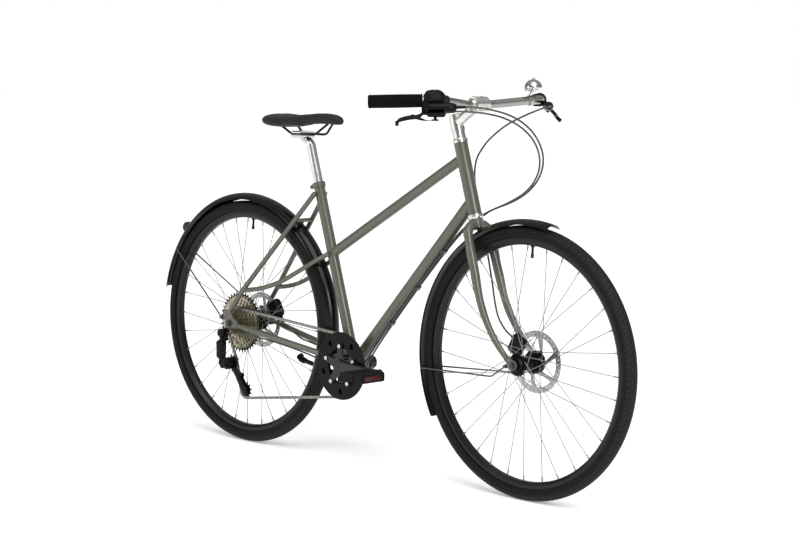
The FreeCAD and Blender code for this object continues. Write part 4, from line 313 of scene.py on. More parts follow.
def new_group(name, inputs, outputs):
    """An empty shader group with named sockets, and its input and output nodes."""
    group = bpy.data.node_groups.new(name, "ShaderNodeTree")
    for label, kind, value in inputs:
        socket = group.interface.new_socket(label, in_out="INPUT", socket_type=kind)
        if value is not None:
            socket.default_value = value
    for label, kind in outputs:
        group.interface.new_socket(label, in_out="OUTPUT", socket_type=kind)
    return group, group.nodes.new("NodeGroupInput"), group.nodes.new("NodeGroupOutput")


def math_node(tree, operation, first, second=None, third=None):
    """A math node fed with sockets or set numbers; returns its output socket."""
    node = tree.nodes.new("ShaderNodeMath")
    node.operation = operation
    for i, value in enumerate((first, second, third)):
        if value is None:
            continue
        if isinstance(value, (int, float)):
            node.inputs[i].default_value = value
        else:
            tree.links.new(value, node.inputs[i])
    return node.outputs[0]


def wave_node(tree, value, rate):
    """The sine of a socket's value times a rate."""
    return math_node(tree, "SINE", math_node(tree, "MULTIPLY", value, rate))


def mix_colour(tree, share, plain, other):
    """Mixes a colour socket with another socket or a set colour; returns the mixed colour's socket."""
    mix = tree.nodes.new("ShaderNodeMix")
    mix.data_type = "RGBA"
    tree.links.new(share, mix.inputs["Factor"])
    tree.links.new(plain, mix.inputs["A"])
    if isinstance(other, tuple):
        mix.inputs["B"].default_value = other
    else:
        tree.links.new(other, mix.inputs["B"])
    return mix.outputs["Result"]


def object_place(tree):
    """The socket that gives each point's place in object coordinates."""
    return tree.nodes.new("ShaderNodeTexCoord").outputs["Object"]


def make_worn_finish():
    """Fine grain, slow cloudy variation and sparse scuffs over a base colour."""
    scuff_level = 0.66
    scuff_wear = 0.35
    scuff_height = -0.4
    cloud_gain = 1.4
    cloud_offset = -0.35
    group, inside, outside = new_group(
        "worn finish",
        [("Vector", "NodeSocketVector", None), ("Grain Scale", "NodeSocketFloat", 900.0),
         ("Base", "NodeSocketColor", (0.5, 0.5, 0.5, 1)), ("Worn", "NodeSocketColor", (0.6, 0.6, 0.6, 1)),
         ("Wear", "NodeSocketFloat", 0.3), ("Rough Low", "NodeSocketFloat", 0.3),
         ("Rough High", "NodeSocketFloat", 0.5)],
        [("Colour", "NodeSocketColor"), ("Roughness", "NodeSocketFloat"), ("Height", "NodeSocketFloat")])
    grain, cloud, scuff = (group.nodes.new("ShaderNodeTexNoise") for _ in range(3))
    for noise, detail in ((grain, 3.0), (cloud, 5.0), (scuff, 6.0)):
        noise.inputs["Detail"].default_value = detail
        group.links.new(inside.outputs["Vector"], noise.inputs["Vector"])
    group.links.new(inside.outputs["Grain Scale"], grain.inputs["Scale"])
    cloud.inputs["Scale"].default_value = 14.0
    scuff.inputs["Scale"].default_value = 130.0
    rare = math_node(group, "GREATER_THAN", scuff.outputs["Fac"], scuff_level)
    soft = math_node(group, "MULTIPLY_ADD", cloud.outputs["Fac"], cloud_gain, cloud_offset)
    mask = math_node(group, "MULTIPLY_ADD", rare, scuff_wear, soft)
    share = math_node(group, "MULTIPLY", mask, inside.outputs["Wear"])
    share = math_node(group, "MINIMUM", math_node(group, "MAXIMUM", share, 0.0), 1.0)
    colour = mix_colour(group, share, inside.outputs["Base"], inside.outputs["Worn"])
    group.links.new(colour, outside.inputs["Colour"])
    spread = math_node(group, "SUBTRACT", inside.outputs["Rough High"], inside.outputs["Rough Low"])
    blend = math_node(group, "MULTIPLY_ADD", grain.outputs["Fac"], 0.5,
                      math_node(group, "MULTIPLY", cloud.outputs["Fac"], 0.5))
    rough = math_node(group, "MULTIPLY_ADD", blend, spread, inside.outputs["Rough Low"])
    group.links.new(rough, outside.inputs["Roughness"])
    height = math_node(group, "MULTIPLY_ADD", rare, scuff_height, grain.outputs["Fac"])
    group.links.new(height, outside.inputs["Height"])
    return group


def make_wheel_polar():
    """A wheel point's turn about a Y axle in radians, its distance from the axle and its place along it."""
    group, inside, outside = new_group(
        "wheel polar",
        [("Vector", "NodeSocketVector", None), ("Axle X", "NodeSocketFloat", 0.0),
         ("Axle Z", "NodeSocketFloat", 0.0)],
        [("Turn", "NodeSocketFloat"), ("Radius", "NodeSocketFloat"), ("Side", "NodeSocketFloat")])
    parts = group.nodes.new("ShaderNodeSeparateXYZ")
    group.links.new(inside.outputs["Vector"], parts.inputs[0])
    x = math_node(group, "SUBTRACT", parts.outputs["X"], inside.outputs["Axle X"])
    z = math_node(group, "SUBTRACT", parts.outputs["Z"], inside.outputs["Axle Z"])
    group.links.new(math_node(group, "ARCTAN2", z, x), outside.inputs["Turn"])
    square = math_node(group, "MULTIPLY_ADD", x, x, math_node(group, "MULTIPLY", z, z))
    group.links.new(math_node(group, "SQRT", square), outside.inputs["Radius"])
    group.links.new(parts.outputs["Y"], outside.inputs["Side"])
    return group


WORN_FINISH = make_worn_finish()
WHEEL_POLAR = make_wheel_polar()


def polar_node(tree, axle):
    """A wheel polar node about the given axle, fed with object coordinates."""
    polar = tree.nodes.new("ShaderNodeGroup")
    polar.node_tree = WHEEL_POLAR
    polar.inputs["Axle X"].default_value = float(axle[0])
    polar.inputs["Axle Z"].default_value = float(axle[2])
    tree.links.new(object_place(tree), polar.inputs["Vector"])
    return polar


def finish_nodes(name, base, worn, wear, rough, metallic=0.0, grain=900.0, bump=0.05, depth=0.0002,
                 coat=0.0, sheen=0.0, specular=0.5):
    """A material with the worn finish; returns it with its worn-finish node, bump node and shader."""
    material = bpy.data.materials.new(name)
    material.use_nodes = True
    tree = material.node_tree
    shader = tree.nodes["Principled BSDF"]
    shader.inputs["Metallic"].default_value = metallic
    shader.inputs["Specular IOR Level"].default_value = specular
    if coat:
        shader.inputs["Coat Weight"].default_value = coat
        shader.inputs["Coat Roughness"].default_value = 0.12
    if sheen:
        shader.inputs["Sheen Weight"].default_value = sheen
    wear_node = tree.nodes.new("ShaderNodeGroup")
    wear_node.node_tree = WORN_FINISH
    for label, value in (("Grain Scale", grain), ("Base", base), ("Worn", worn), ("Wear", wear),
                         ("Rough Low", rough[0]), ("Rough High", rough[1])):
        wear_node.inputs[label].default_value = value
    tree.links.new(object_place(tree), wear_node.inputs["Vector"])
    tree.links.new(wear_node.outputs["Colour"], shader.inputs["Base Color"])
    tree.links.new(wear_node.outputs["Roughness"], shader.inputs["Roughness"])
    bump_node = tree.nodes.new("ShaderNodeBump")
    bump_node.inputs["Strength"].default_value = bump
    bump_node.inputs["Distance"].default_value = depth
    tree.links.new(wear_node.outputs["Height"], bump_node.inputs["Height"])
    tree.links.new(bump_node.outputs["Normal"], shader.inputs["Normal"])
    return material, wear_node, bump_node, shader


def finish(*values, **extra):
    """The worn-finish material alone, for pieces that need nothing more."""
    return finish_nodes(*values, **extra)[0]


# Finishes: colour, worn colour, share of wear, and the lowest and highest roughness

FRAME_PAINT = (srgb(74, 75, 64), srgb(86, 87, 75), 0.35, (0.28, 0.42))
FRAME_SHINE = {"metallic": 0.2, "grain": 1800.0, "bump": 0.03, "coat": 0.35}

frame_paint = finish("olive frame paint", *FRAME_PAINT, **FRAME_SHINE)
silver = finish("polished silver alloy", srgb(214, 214, 211), srgb(176, 176, 173), 0.45, (0.14, 0.3),
                metallic=1.0, grain=1400.0, bump=0.04)
# The handlebar alloy is darker than the other polished silver: painted shade for the dark surroundings the
# bar reflects.
shaded_bar_alloy = finish("handlebar alloy", srgb(160, 160, 156), srgb(112, 112, 108), 0.45, (0.16, 0.3),
                   metallic=1.0, grain=1400.0, bump=0.04)
bell_metal = finish("bell metal", srgb(178, 177, 173), srgb(130, 128, 124), 0.4, (0.14, 0.28),
                    metallic=1.0, grain=700.0, bump=0.03)
spoke_steel = finish("spoke steel", grey(134), grey(94), 0.5, (0.25, 0.42),
                     metallic=1.0, grain=1600.0, bump=0.03)
stay_steel = finish("stay wire steel", srgb(98, 98, 97), srgb(60, 60, 59), 0.5, (0.26, 0.44),
                    metallic=1.0, grain=1500.0)
axle_steel = finish("axle steel", grey(104), grey(62), 0.6, (0.28, 0.5), metallic=1.0)
black_alloy = finish("black anodised alloy", srgb(6, 6, 7), srgb(18, 18, 20), 0.32, (0.22, 0.38),
                     metallic=0.2, grain=1500.0, bump=0.06, specular=0.13)
crank_alloy = finish("dark crank alloy", srgb(44, 44, 46), srgb(78, 78, 80), 0.4, (0.16, 0.3),
                     metallic=0.75, grain=1300.0, specular=0.2)
black_plastic = finish("black moulded plastic", grey(6), grey(16), 0.4, (0.34, 0.54),
                       grain=700.0, bump=0.14, specular=0.12)
fender_black = finish("black fender skin", grey(5), grey(14), 0.22, (0.12, 0.28),
                      grain=260.0, bump=0.04, specular=0.25)
grip_rubber = finish("grip rubber", grey(5), srgb(13, 12, 12), 0.45, (0.6, 0.82),
                     grain=1100.0, bump=0.3, specular=0.07)
pedal_rubber = finish("pedal rubber", grey(8), srgb(22, 21, 20), 0.5, (0.55, 0.8),
                      grain=800.0, bump=0.3, specular=0.15)
cable_sheath = finish("cable sheath", grey(46), grey(70), 0.35, (0.28, 0.44), grain=2200.0, bump=0.08)
chain_steel = finish("oiled chain steel", srgb(140, 138, 133), srgb(70, 68, 64), 0.7, (0.24, 0.5),
                     metallic=1.0, bump=0.12)
rail_black = finish("black rail", grey(14), grey(36), 0.3, (0.25, 0.4), metallic=0.3, specular=0.3)
valve_black = finish("valve cap plastic", grey(16), grey(36), 0.3, (0.35, 0.55), specular=0.3)
amber_lens = finish("amber reflector", srgb(54, 14, 8), srgb(82, 28, 12), 0.4, (0.12, 0.26),
                    grain=420.0, bump=0.5, depth=0.0006, specular=0.3)
ring_bolt_steel = finish("ring bolt steel", srgb(208, 206, 200), srgb(160, 158, 152), 0.4, (0.16, 0.32),
                         metallic=1.0, grain=1300.0)
window_tint = finish("gear window tint", srgb(58, 60, 60), srgb(92, 94, 94), 0.5, (0.06, 0.16),
                     grain=500.0, bump=0.03, coat=0.5)


def guided_tube_paint():
    """Down tube: frame paint within the tube's radius of its axis, and black on the guides beyond it.

    The distance from the axis is the length of the cross product of the point's offset and the tube's run.
    """
    material, wear_node, _, shader = finish_nodes("down tube paint", *FRAME_PAINT, **FRAME_SHINE)
    tree = material.node_tree
    offset, cross, length = (tree.nodes.new("ShaderNodeVectorMath") for _ in range(3))
    offset.operation = "SUBTRACT"
    offset.inputs[1].default_value = BRACKET
    cross.operation = "CROSS_PRODUCT"
    cross.inputs[1].default_value = DOWN_TUBE_RUN
    length.operation = "LENGTH"
    tree.links.new(object_place(tree), offset.inputs[0])
    tree.links.new(offset.outputs[0], cross.inputs[0])
    tree.links.new(cross.outputs[0], length.inputs[0])
    outside = math_node(tree, "GREATER_THAN", length.outputs["Value"], DOWN_TUBE_SKIN)
    colour = mix_colour(tree, outside, wear_node.outputs["Colour"], grey(16))
    tree.links.new(colour, shader.inputs["Base Color"])
    return material


def ringed_metal(name, base, worn, axle, spacing, metallic=1.0):
    """Turned metal: fine circular tool marks about the wheel's axle as bump and roughness."""
    mark_height = 0.35
    mark_roughness = 0.05
    material, wear_node, bump_node, shader = finish_nodes(
        name, base, worn, 0.45, (0.2, 0.42), metallic=metallic, bump=0.18)
    tree = material.node_tree
    rings = wave_node(tree, polar_node(tree, axle).outputs["Radius"], 2 * math.pi / spacing)
    height = math_node(tree, "MULTIPLY_ADD", rings, mark_height, wear_node.outputs["Height"])
    tree.links.new(height, bump_node.inputs["Height"])
    rough = math_node(tree, "MULTIPLY_ADD", rings, mark_roughness, wear_node.outputs["Roughness"])
    tree.links.new(rough, shader.inputs["Roughness"])
    return material


def cassette_finish():
    """Nickel grey on the smaller cogs and black on the largest, by the distance from the axle."""
    material = ringed_metal("cassette steel", srgb(178, 172, 151), srgb(112, 107, 91), REAR_AXLE, 0.002)
    tree = material.node_tree
    shader = tree.nodes["Principled BSDF"]
    plain = shader.inputs["Base Color"].links[0].from_socket
    radius = polar_node(tree, REAR_AXLE).outputs["Radius"]
    largest = math_node(tree, "GREATER_THAN", radius, LARGEST_COG_INNER)
    tree.links.new(mix_colour(tree, largest, plain, srgb(40, 38, 34)), shader.inputs["Base Color"])
    return material


# Waves of the tyre's pattern: across and round the slanted blocks, across the rails, and down the wall.
# A block or rail stands where its wave is above its level.
SLANT_ACROSS = 380.0
SLANT_ROUND = 150.0
BLOCK_LEVEL = -0.62
RAIL_ACROSS = 900.0
RAIL_LEVEL = -0.8
WALL_RINGS = 4200.0
WALL_RING_HEIGHT = 0.2
TYRE_GRAIN_HEIGHT = 0.2
# How far the tread grooves are darkened: painted shade in the recesses.
GROOVE_PAINTED_SHADE = 0.8


def tyre_rubber(name, axle):
    """Tyre: a paler crown, partly worn rubber and partly a painted sheen, with slanted tread blocks, grooves
    darkened with painted shade, and fine rings on the wall.
    """
    material, wear_node, bump_node, shader = finish_nodes(
        name, grey(7), srgb(18, 18, 17), 0.4, (0.5, 0.74), grain=700.0, bump=0.5, depth=0.0012, specular=0.15)
    tree = material.node_tree
    polar = polar_node(tree, axle)
    side = math_node(tree, "ABSOLUTE", polar.outputs["Side"])
    slant = math_node(tree, "MULTIPLY_ADD", side, SLANT_ACROSS,
                      math_node(tree, "MULTIPLY", polar.outputs["Turn"], SLANT_ROUND))
    blocks = math_node(tree, "GREATER_THAN", math_node(tree, "SINE", slant), BLOCK_LEVEL)
    rail = math_node(tree, "GREATER_THAN", wave_node(tree, side, RAIL_ACROSS), RAIL_LEVEL)
    tread = math_node(tree, "MULTIPLY", blocks, rail)
    crown = math_node(tree, "GREATER_THAN", polar.outputs["Radius"], TYRE_CROWN)
    rings = wave_node(tree, polar.outputs["Radius"], WALL_RINGS)
    wall = math_node(tree, "MULTIPLY", math_node(tree, "SUBTRACT", 1.0, crown),
                     math_node(tree, "MULTIPLY", rings, WALL_RING_HEIGHT))
    relief = math_node(tree, "MULTIPLY_ADD", math_node(tree, "MULTIPLY", tread, crown), 1.0, wall)
    height = math_node(tree, "MULTIPLY_ADD", wear_node.outputs["Height"], TYRE_GRAIN_HEIGHT, relief)
    tree.links.new(height, bump_node.inputs["Height"])
    groove = math_node(tree, "MULTIPLY", crown, math_node(tree, "SUBTRACT", 1.0, tread))
    # The crown is paler: partly worn rubber, partly a painted sheen.
    worn_and_sheen_crown = mix_colour(tree, crown, wear_node.outputs["Colour"], srgb(27, 26, 23))
    # The grooves on the crown are darkened: painted shade.
    groove_shade = math_node(tree, "MULTIPLY", groove, GROOVE_PAINTED_SHADE)
    colour = mix_colour(tree, groove_shade, worn_and_sheen_crown, grey(9))
    tree.links.new(colour, shader.inputs["Base Color"])
    return material


def saddle_leather():
    """Grained cover: small cells as the grain, with the worn finish under it."""
    cell_height = 0.8
    material, wear_node, bump_node, _ = finish_nodes(
        "saddle cover", srgb(17, 17, 18), srgb(40, 39, 38), 0.35, (0.42, 0.66),
        grain=500.0, bump=0.35, depth=0.0006, sheen=0.03, specular=0.22)
    tree = material.node_tree
    cells = tree.nodes.new("ShaderNodeTexVoronoi")
    cells.inputs["Scale"].default_value = 520.0
    tree.links.new(object_place(tree), cells.inputs["Vector"])
    height = math_node(tree, "MULTIPLY_ADD", cells.outputs["Distance"], cell_height,
                       wear_node.outputs["Height"])
    tree.links.new(height, bump_node.inputs["Height"])
    return material


def tail_lamp():
    """Black lamp case with a ribbed red lens on its rearmost face."""
    lens_depth = 0.006
    rib_rate = 1800.0
    material, wear_node, bump_node, shader = finish_nodes(
        "tail lamp", grey(12), grey(28), 0.3, (0.14, 0.3), specular=0.35, depth=0.0008, bump=0.3)
    tree = material.node_tree
    parts = tree.nodes.new("ShaderNodeSeparateXYZ")
    tree.links.new(object_place(tree), parts.inputs[0])
    low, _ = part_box("tail_light")
    lens = math_node(tree, "LESS_THAN", parts.outputs["X"], low.x + lens_depth)
    colour = mix_colour(tree, lens, wear_node.outputs["Colour"], srgb(150, 16, 14))
    tree.links.new(colour, shader.inputs["Base Color"])
    ribs = wave_node(tree, parts.outputs["Y"], rib_rate)
    tree.links.new(math_node(tree, "MULTIPLY", ribs, lens), bump_node.inputs["Height"])
    return material


ROTOR_GREYS = (srgb(172, 172, 170), srgb(128, 128, 126))
RIM_BLACKS = (srgb(9, 9, 10), srgb(24, 24, 26))
ROTOR_MARKS = 0.0016
RIM_MARKS = 0.0012
RIM_METALLIC = 0.5

down_tube_paint = guided_tube_paint()
front_rotor_steel = ringed_metal("front rotor steel", *ROTOR_GREYS, FRONT_AXLE, ROTOR_MARKS)
rear_rotor_steel = ringed_metal("rear rotor steel", *ROTOR_GREYS, REAR_AXLE, ROTOR_MARKS)
cassette_steel = cassette_finish()
front_rim_black = ringed_metal("front rim black", *RIM_BLACKS, FRONT_AXLE, RIM_MARKS, RIM_METALLIC)
rear_rim_black = ringed_metal("rear rim black", *RIM_BLACKS, REAR_AXLE, RIM_MARKS, RIM_METALLIC)
front_tyre_rubber = tyre_rubber("front tyre rubber", FRONT_AXLE)
rear_tyre_rubber = tyre_rubber("rear tyre rubber", REAR_AXLE)
saddle_cover = saddle_leather()
tail_lamp_finish = tail_lamp()

FINISHES = {
    down_tube_paint: ["down_tube"],
    frame_paint: ["head_tube", "top_tube", "seat_tube", "bottom_bracket_shell", "chainstays",
                  "seat_stays", "seat_clamp", "dropouts", "fork"],
    silver: ["headset", "stem", "seatpost"],
    shaded_bar_alloy: ["handlebar"],
    bell_metal: ["bell", "bell_striker"],
    spoke_steel: ["front_spokes", "rear_spokes"],
    stay_steel: ["front_fender_stays", "rear_fender_stays"],
    axle_steel: ["front_axle", "rear_axle"],
    front_rotor_steel: ["front_rotor"],
    rear_rotor_steel: ["rear_rotor"],
    chain_steel: ["chain"],
    cassette_steel: ["cassette"],
    front_rim_black: ["front_rim"],
    rear_rim_black: ["rear_rim"],
    black_alloy: ["front_hub", "rear_hub", "chainring", "bottom_bracket_cups", "front_caliper",
                  "rear_caliper", "brake_lever_bodies", "right_brake_lever", "left_brake_lever",
                  "kickstand_bracket", "kickstand_leg", "derailleur_body", "derailleur_link",
                  "derailleur_knuckle", "derailleur_cage"],
    crank_alloy: ["crank_arms"],
    black_plastic: ["shifter_body", "shift_lever", "guide_pulley", "tension_pulley"],
    pedal_rubber: ["right_pedal", "left_pedal"],
    fender_black: ["front_fender", "rear_fender"],
    tail_lamp_finish: ["tail_light"],
    front_tyre_rubber: ["front_tyre"],
    rear_tyre_rubber: ["rear_tyre"],
    grip_rubber: ["grips"],
    saddle_cover: ["saddle"],
    rail_black: ["saddle_rails"],
    cable_sheath: ["rear_cables", "front_brake_hose"],
}
for material, names in FINISHES.items():
    for name in names:
        nodes[name].data.materials.clear()
        nodes[name].data.materials.append(material)


# Cables that cross the steering joint, with their routes in millimetres from the bar to the rear wheel

HOSE_ROUTE = [(466.7, -159.3, 992.4), (486.5, -139.5, 993.2), (512.7, -84, 982), (523.7, -35, 966),
              (529.7, 12, 939), (532.7, 46, 903), (533.7, 63, 860), (520.7, 63, 814), (489.7, 56, 776),
              (444.7, 46, 748), (381.7, 37, 726), (352.7, 31.5, 706), (296.6, 4.5, 662.2),
              (7.7, 4.5, 343.7), (-56.2, 7, 250.5), (-92.2, 14, 250.5), (-231.2, 40.4, 293.1),
              (-319.6, 50, 306.8), (-341.1, 41, 312), (-374.1, 43, 327), (-408.1, 45, 345),
              (-442.1, 46, 359)]
SHIFT_ROUTE = [(435, -163.7, 981), (454.8, -143.9, 981.8), (487.7, -87, 975), (502.7, -42, 962),
               (514.7, 1, 940), (527.7, 32, 907), (533.7, 48, 865), (523.7, 53, 821), (496.7, 44, 779),
               (445.7, 33, 748), (381.2, 28, 723), (348.7, 25, 704), (296.6, -4.5, 662.2),
               (7.7, -4.5, 343.7), (-56.2, -7, 250.5), (-92.2, -14, 250.5), (-231.2, -40.4, 293.1),
               (-403.1, -59.1, 319.8), (-504.1, -82, 324), (-524.6, -82, 322)]
CABLE_STEPS = 14


def steering_cable(name, route):
    """A round sheath along the smooth route, which runs along the bar at its upper end and along the frame
    lower down.
    """
    route = np.array(route, float) / 1000
    path = spline_points(name + "_line", route, CABLE_STEPS)
    points, faces = tube_along(path, HOSE_RADIUS)
    obj = piece_from(name, points, faces, cable_sheath)
    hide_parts("rear_cables")
    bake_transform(obj)


steering_cable("rear_brake_hose", HOSE_ROUTE)
steering_cable("shift_cable", SHIFT_ROUTE)


# Saddle: half width, height of the crest and depth below it, in metres, at shares of the length from the nose

SADDLE_RINGS = 90
SADDLE_SIDES = 72
SADDLE_SHARE = np.array([0, 0.02, 0.06, 0.15, 0.30, 0.48, 0.62, 0.74, 0.84, 0.92, 0.97, 1.0])
SADDLE_HALF = np.array([0.004, 0.0125, 0.018, 0.0215, 0.0255, 0.037,
                        0.054, 0.0690, 0.0745, 0.0705, 0.059, 0.040])
SADDLE_CREST = np.array([-0.0150, -0.0095, -0.0045, 0.0, 0.0008, -0.0025,
                         -0.0056, -0.0060, -0.0046, -0.0038, -0.0058, -0.0110])
SADDLE_DEPTH = np.array([0.012, 0.019, 0.025, 0.0285, 0.0295, 0.0300,
                         0.0320, 0.0350, 0.0365, 0.0350, 0.0300, 0.0200])
SIDE_ROUND = 0.82
FLANK_ROUND = 0.55
ROOF_PART = 0.48
FLANK_PART = 0.52
CHANNEL_DEPTH = 0.0022
CHANNEL_HALF = 0.012
CHANNEL_SHARE = 0.66
CHANNEL_SPREAD = 0.2
SEAM_RADIUS = 0.0011
SEAM_PROUD = 0.0002


def saddle_pad():
    """Cover: width, crest and depth are smooth functions of the length, and each section is a rounded cap.

    Above the widest line a section falls from the crest with the sine of the turn, and below it a squarer
    flank goes down to a flat base. A channel, a bell curve both ways, is sunk into the middle. A thin round
    seam runs along the widest line.
    """
    low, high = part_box("saddle")
    share = (1 - np.cos(np.linspace(0, np.pi, SADDLE_RINGS))) / 2
    width, crown, drop = (smooth_between(SADDLE_SHARE, values, share)[:, None]
                          for values in (SADDLE_HALF, SADDLE_CREST, SADDLE_DEPTH))
    turn = full_turn(SADDLE_SIDES)[None, :]
    c = np.cos(turn)
    s = np.sin(turn)
    y = width * signed_power(c, SIDE_ROUND)
    roof = crown - ROOF_PART * drop * (1 - np.maximum(s, 0))
    flank = crown - ROOF_PART * drop - FLANK_PART * drop * np.maximum(-s, 0) ** FLANK_ROUND
    channel = (np.exp(-(y / CHANNEL_HALF) ** 2)
               * np.exp(-((share[:, None] - CHANNEL_SHARE) / CHANNEL_SPREAD) ** 2) * CHANNEL_DEPTH)
    z = high.z + np.where(s > 0, roof - channel, flank)
    x = np.broadcast_to(high.x - share[:, None] * (high.x - low.x), y.shape)
    points, faces = closed_tube(np.stack([x, y, z], axis=-1))
    obj = piece_from("saddle_pad", points, faces, saddle_cover)
    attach(obj, "seat")
    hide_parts("saddle")
    edge = np.stack([x[:, 0], y[:, 0] + SEAM_PROUD, z[:, 0]], axis=-1)[2:-2]
    other = edge * np.array([1, -1, 1])
    points, faces = tube_along(np.concatenate([edge, other[::-1]]), SEAM_RADIUS, sides=8)
    seam = piece_from("saddle_seam", points, faces, saddle_cover)
    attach(seam, "seat")


saddle_pad()


# Grips, by distances from the bar's corner

GRIP_START = 0.047
GRIP_END = 0.1821
GRIP_RINGS = 420
GRIP_RADIUS = 0.0159
GRIP_SWELL = 0.0006
RIBBED_SHARES = (0.05, 0.93)
RIB_HEIGHT = 0.00055
RIB_PITCH = 0.0042
FIRST_RIB = 0.052
FLANGE_PLACE = 0.0485
FLANGE_HALF = 0.0022
FLANGE_HEIGHT = 0.0021
LIP_START = 0.174
LIP_RUN = 0.002
LIP_HEIGHT = 0.0012
CAP_START = 0.1765
CAP_RUN = 0.0056
CAP_CLOSING = 0.45


def ribbed_grips():
    """Each grip is a profile turned about the bar's tail: end flange, fine ribs, a lip and a rounded cap."""
    along = np.linspace(GRIP_START, GRIP_END, GRIP_RINGS)
    place = (along - along[0]) / (along[-1] - along[0])
    ribs = RIB_HEIGHT * (0.5 - 0.5 * np.cos(2 * np.pi * (along - FIRST_RIB) / RIB_PITCH))
    ribs = np.where((place > RIBBED_SHARES[0]) & (place < RIBBED_SHARES[1]), ribs, 0)
    swell = GRIP_SWELL * np.sin(np.pi * place)
    flange = FLANGE_HEIGHT * np.clip(1 - np.abs(along - FLANGE_PLACE) / FLANGE_HALF, 0, 1) ** 0.5
    lip = LIP_HEIGHT * np.clip((along - LIP_START) / LIP_RUN, 0, 1)
    cap = np.clip((along - CAP_START) / CAP_RUN, 0, 1)
    closing = np.sqrt(np.clip(1 - CAP_CLOSING * cap ** 2, 0, 1))
    radius = (GRIP_RADIUS + ribs + swell + flange + lip) * closing
    left, right = (turned_about(BAR_CORNER * flip, BAR_TAIL_RUN * flip, along, radius, sides=44)
                   for flip in (np.array([1, -1, 1]), np.array([1, 1, 1])))
    points, faces = joined_parts([left, right])
    obj = piece_from("ribbed_grips", points, faces, grip_rubber)
    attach(obj, "steering")
    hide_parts("grips")


ribbed_grips()


# Small fittings

def valve_cap(name, axle, degrees, body):
    """A plain round cap turned about the valve's line to the axle, closing to a small flat tip."""
    turn = math.radians(degrees)
    outward = np.array([math.cos(turn), 0.0, math.sin(turn)])
    along = np.array([0, 0.0004, 0.0018, 0.0062, 0.0085, 0.0101, 0.0108, 0.011])
    radius = np.array([0.0036, 0.0041, 0.0042, 0.0042, 0.004, 0.0034, 0.0022, 0.001])
    points, faces = turned_about(axle + outward * VALVE_TIP, -outward, along, radius, sides=30)
    obj = piece_from(name, points, faces, valve_black)
    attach(obj, body)


valve_cap("front_valve_cap", FRONT_AXLE, 87.3, "front_wheel")
valve_cap("rear_valve_cap", REAR_AXLE, 86.0, "rear_wheel")


def pedal_reflectors(name, side, ahead, body):
    """Two amber strips with rounded edges set on the front and back faces of a pedal."""
    strip = (0.0022, 0.030, 0.0062)
    eye = BRACKET + np.array([ahead * CRANK_LENGTH, side * PEDAL_MIDDLE_Y, 0.0])
    parts = [rounded_slab(eye + np.array([lean * PEDAL_FACE, 0, 0]), np.eye(3), strip, squareness=7.0)
             for lean in (-1, 1)]
    points, faces = joined_parts(parts)
    obj = piece_from(name, points, faces, amber_lens)
    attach(obj, body)


pedal_reflectors("right_pedal_reflectors", -1, 1, "right_pedal")
pedal_reflectors("left_pedal_reflectors", 1, -1, "left_pedal")


def rotor_bolts(name, axle, outer_y, body):
    """Six low domed screw heads on a circle round the axle."""
    along = np.array([0, 0.0006, 0.0016, 0.0021, 0.0022])
    radius = np.array([0.0042, 0.0044, 0.0038, 0.0022, 0.0008])
    points, faces = heads_on_circle(axle + np.array([0.0, outer_y, 0.0]), ROTOR_BOLT_CIRCLE,
                                    range(30, 390, 60), -RIGHT, along, radius, sides=18)
    obj = piece_from(name, points, faces, axle_steel)
    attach(obj, body)


rotor_bolts("front_rotor_bolts", FRONT_AXLE, 0.04045, "front_wheel")
rotor_bolts("rear_rotor_bolts", REAR_AXLE, 0.05295, "rear_wheel")


def ring_bolts():
    """Five domed bolt heads, each with a hollow in its middle, where the crank holds the chainring."""
    along = np.array([-0.0004, 0.0, 0.0010, 0.0017, 0.0018, 0.0009, 0.0007])
    radius = np.array([0.0046, 0.0056, 0.0056, 0.0046, 0.0031, 0.0027, 0.0006])
    points, faces = heads_on_circle(BRACKET + np.array([0.0, RING_BOLT_Y, 0.0]), RING_BOLT_CIRCLE,
                                    range(90, 450, 72), RIGHT, along, radius, sides=24)
    obj = piece_from("ring_bolts", points, faces, ring_bolt_steel)
    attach(obj, "crank")


ring_bolts()


def gear_display():
    """Shifter cap over the bar: a rounded section carried along its bend, tallest beside the lever clamp.

    The line is a weighted curve from the tail to the inner run, drawn towards the bar's corner. A flat window
    lies on the crest at one station of the line.
    """
    tail_reach = 0.0455
    inner_reach = 0.040
    corner_pull = 2.2
    swell_height = 0.0062
    swell_middle = 0.27
    swell_spread = 0.36
    least_lift = 0.0015
    least_width = 0.0128
    least_height = 0.0126
    station = 12
    window_halves = (0.010, 0.0065, 0.0016)
    window_sink = 0.0009
    t = np.linspace(0, 1, 48)
    share = t[:, None]
    start = BAR_CORNER + BAR_TAIL_RUN * tail_reach
    end = BAR_CORNER + BAR_INWARD_RUN * inner_reach
    near = (1 - share) ** 2
    middle = 2 * corner_pull * share * (1 - share)
    far = share ** 2
    line = (near * start + middle * BAR_CORNER + far * end) / (near + middle + far)
    closing = closing_ends(t, first=0.05, last=0.12, least=0.04, power=0.4)
    swell = swell_height * np.exp(-((t - swell_middle) / swell_spread) ** 4)
    lift = least_lift + swell
    width = closing * (least_width + swell)
    height = closing * (least_height + swell)
    ahead = frames_along(line)[0]
    level = np.cross(ahead, UP)
    level /= np.linalg.norm(level, axis=1, keepdims=True)
    points, faces = oval_sweep(line + lift[:, None] * UP, level, UP, width, height)
    cap = piece_from("gear_display", points, faces, black_plastic)
    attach(cap, "steering")
    crest = line[station] + UP * (lift[station] + height[station] - window_sink)
    axes = np.stack([ahead[station], level[station], np.cross(level[station], ahead[station])])
    points, faces = rounded_slab(crest, axes, window_halves, squareness=5.0)
    window = piece_from("gear_window", points, faces, window_tint)
    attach(window, "steering")


gear_display()


# Moulded covers on the derailleur

def hanger_dome():
    """A dome turned about the hanger bolt."""
    along = np.array([0, 0.0008, 0.0048, 0.0082, 0.0096, 0.0101])
    radius = np.array([0.0116, 0.0126, 0.0126, 0.0104, 0.0062, 0.0018])
    points, faces = turned_about(HANGER_BOLT, RIGHT, along, radius, sides=40)
    dome = piece_from("derailleur_cap", points, faces, black_plastic)
    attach(dome, "frame")


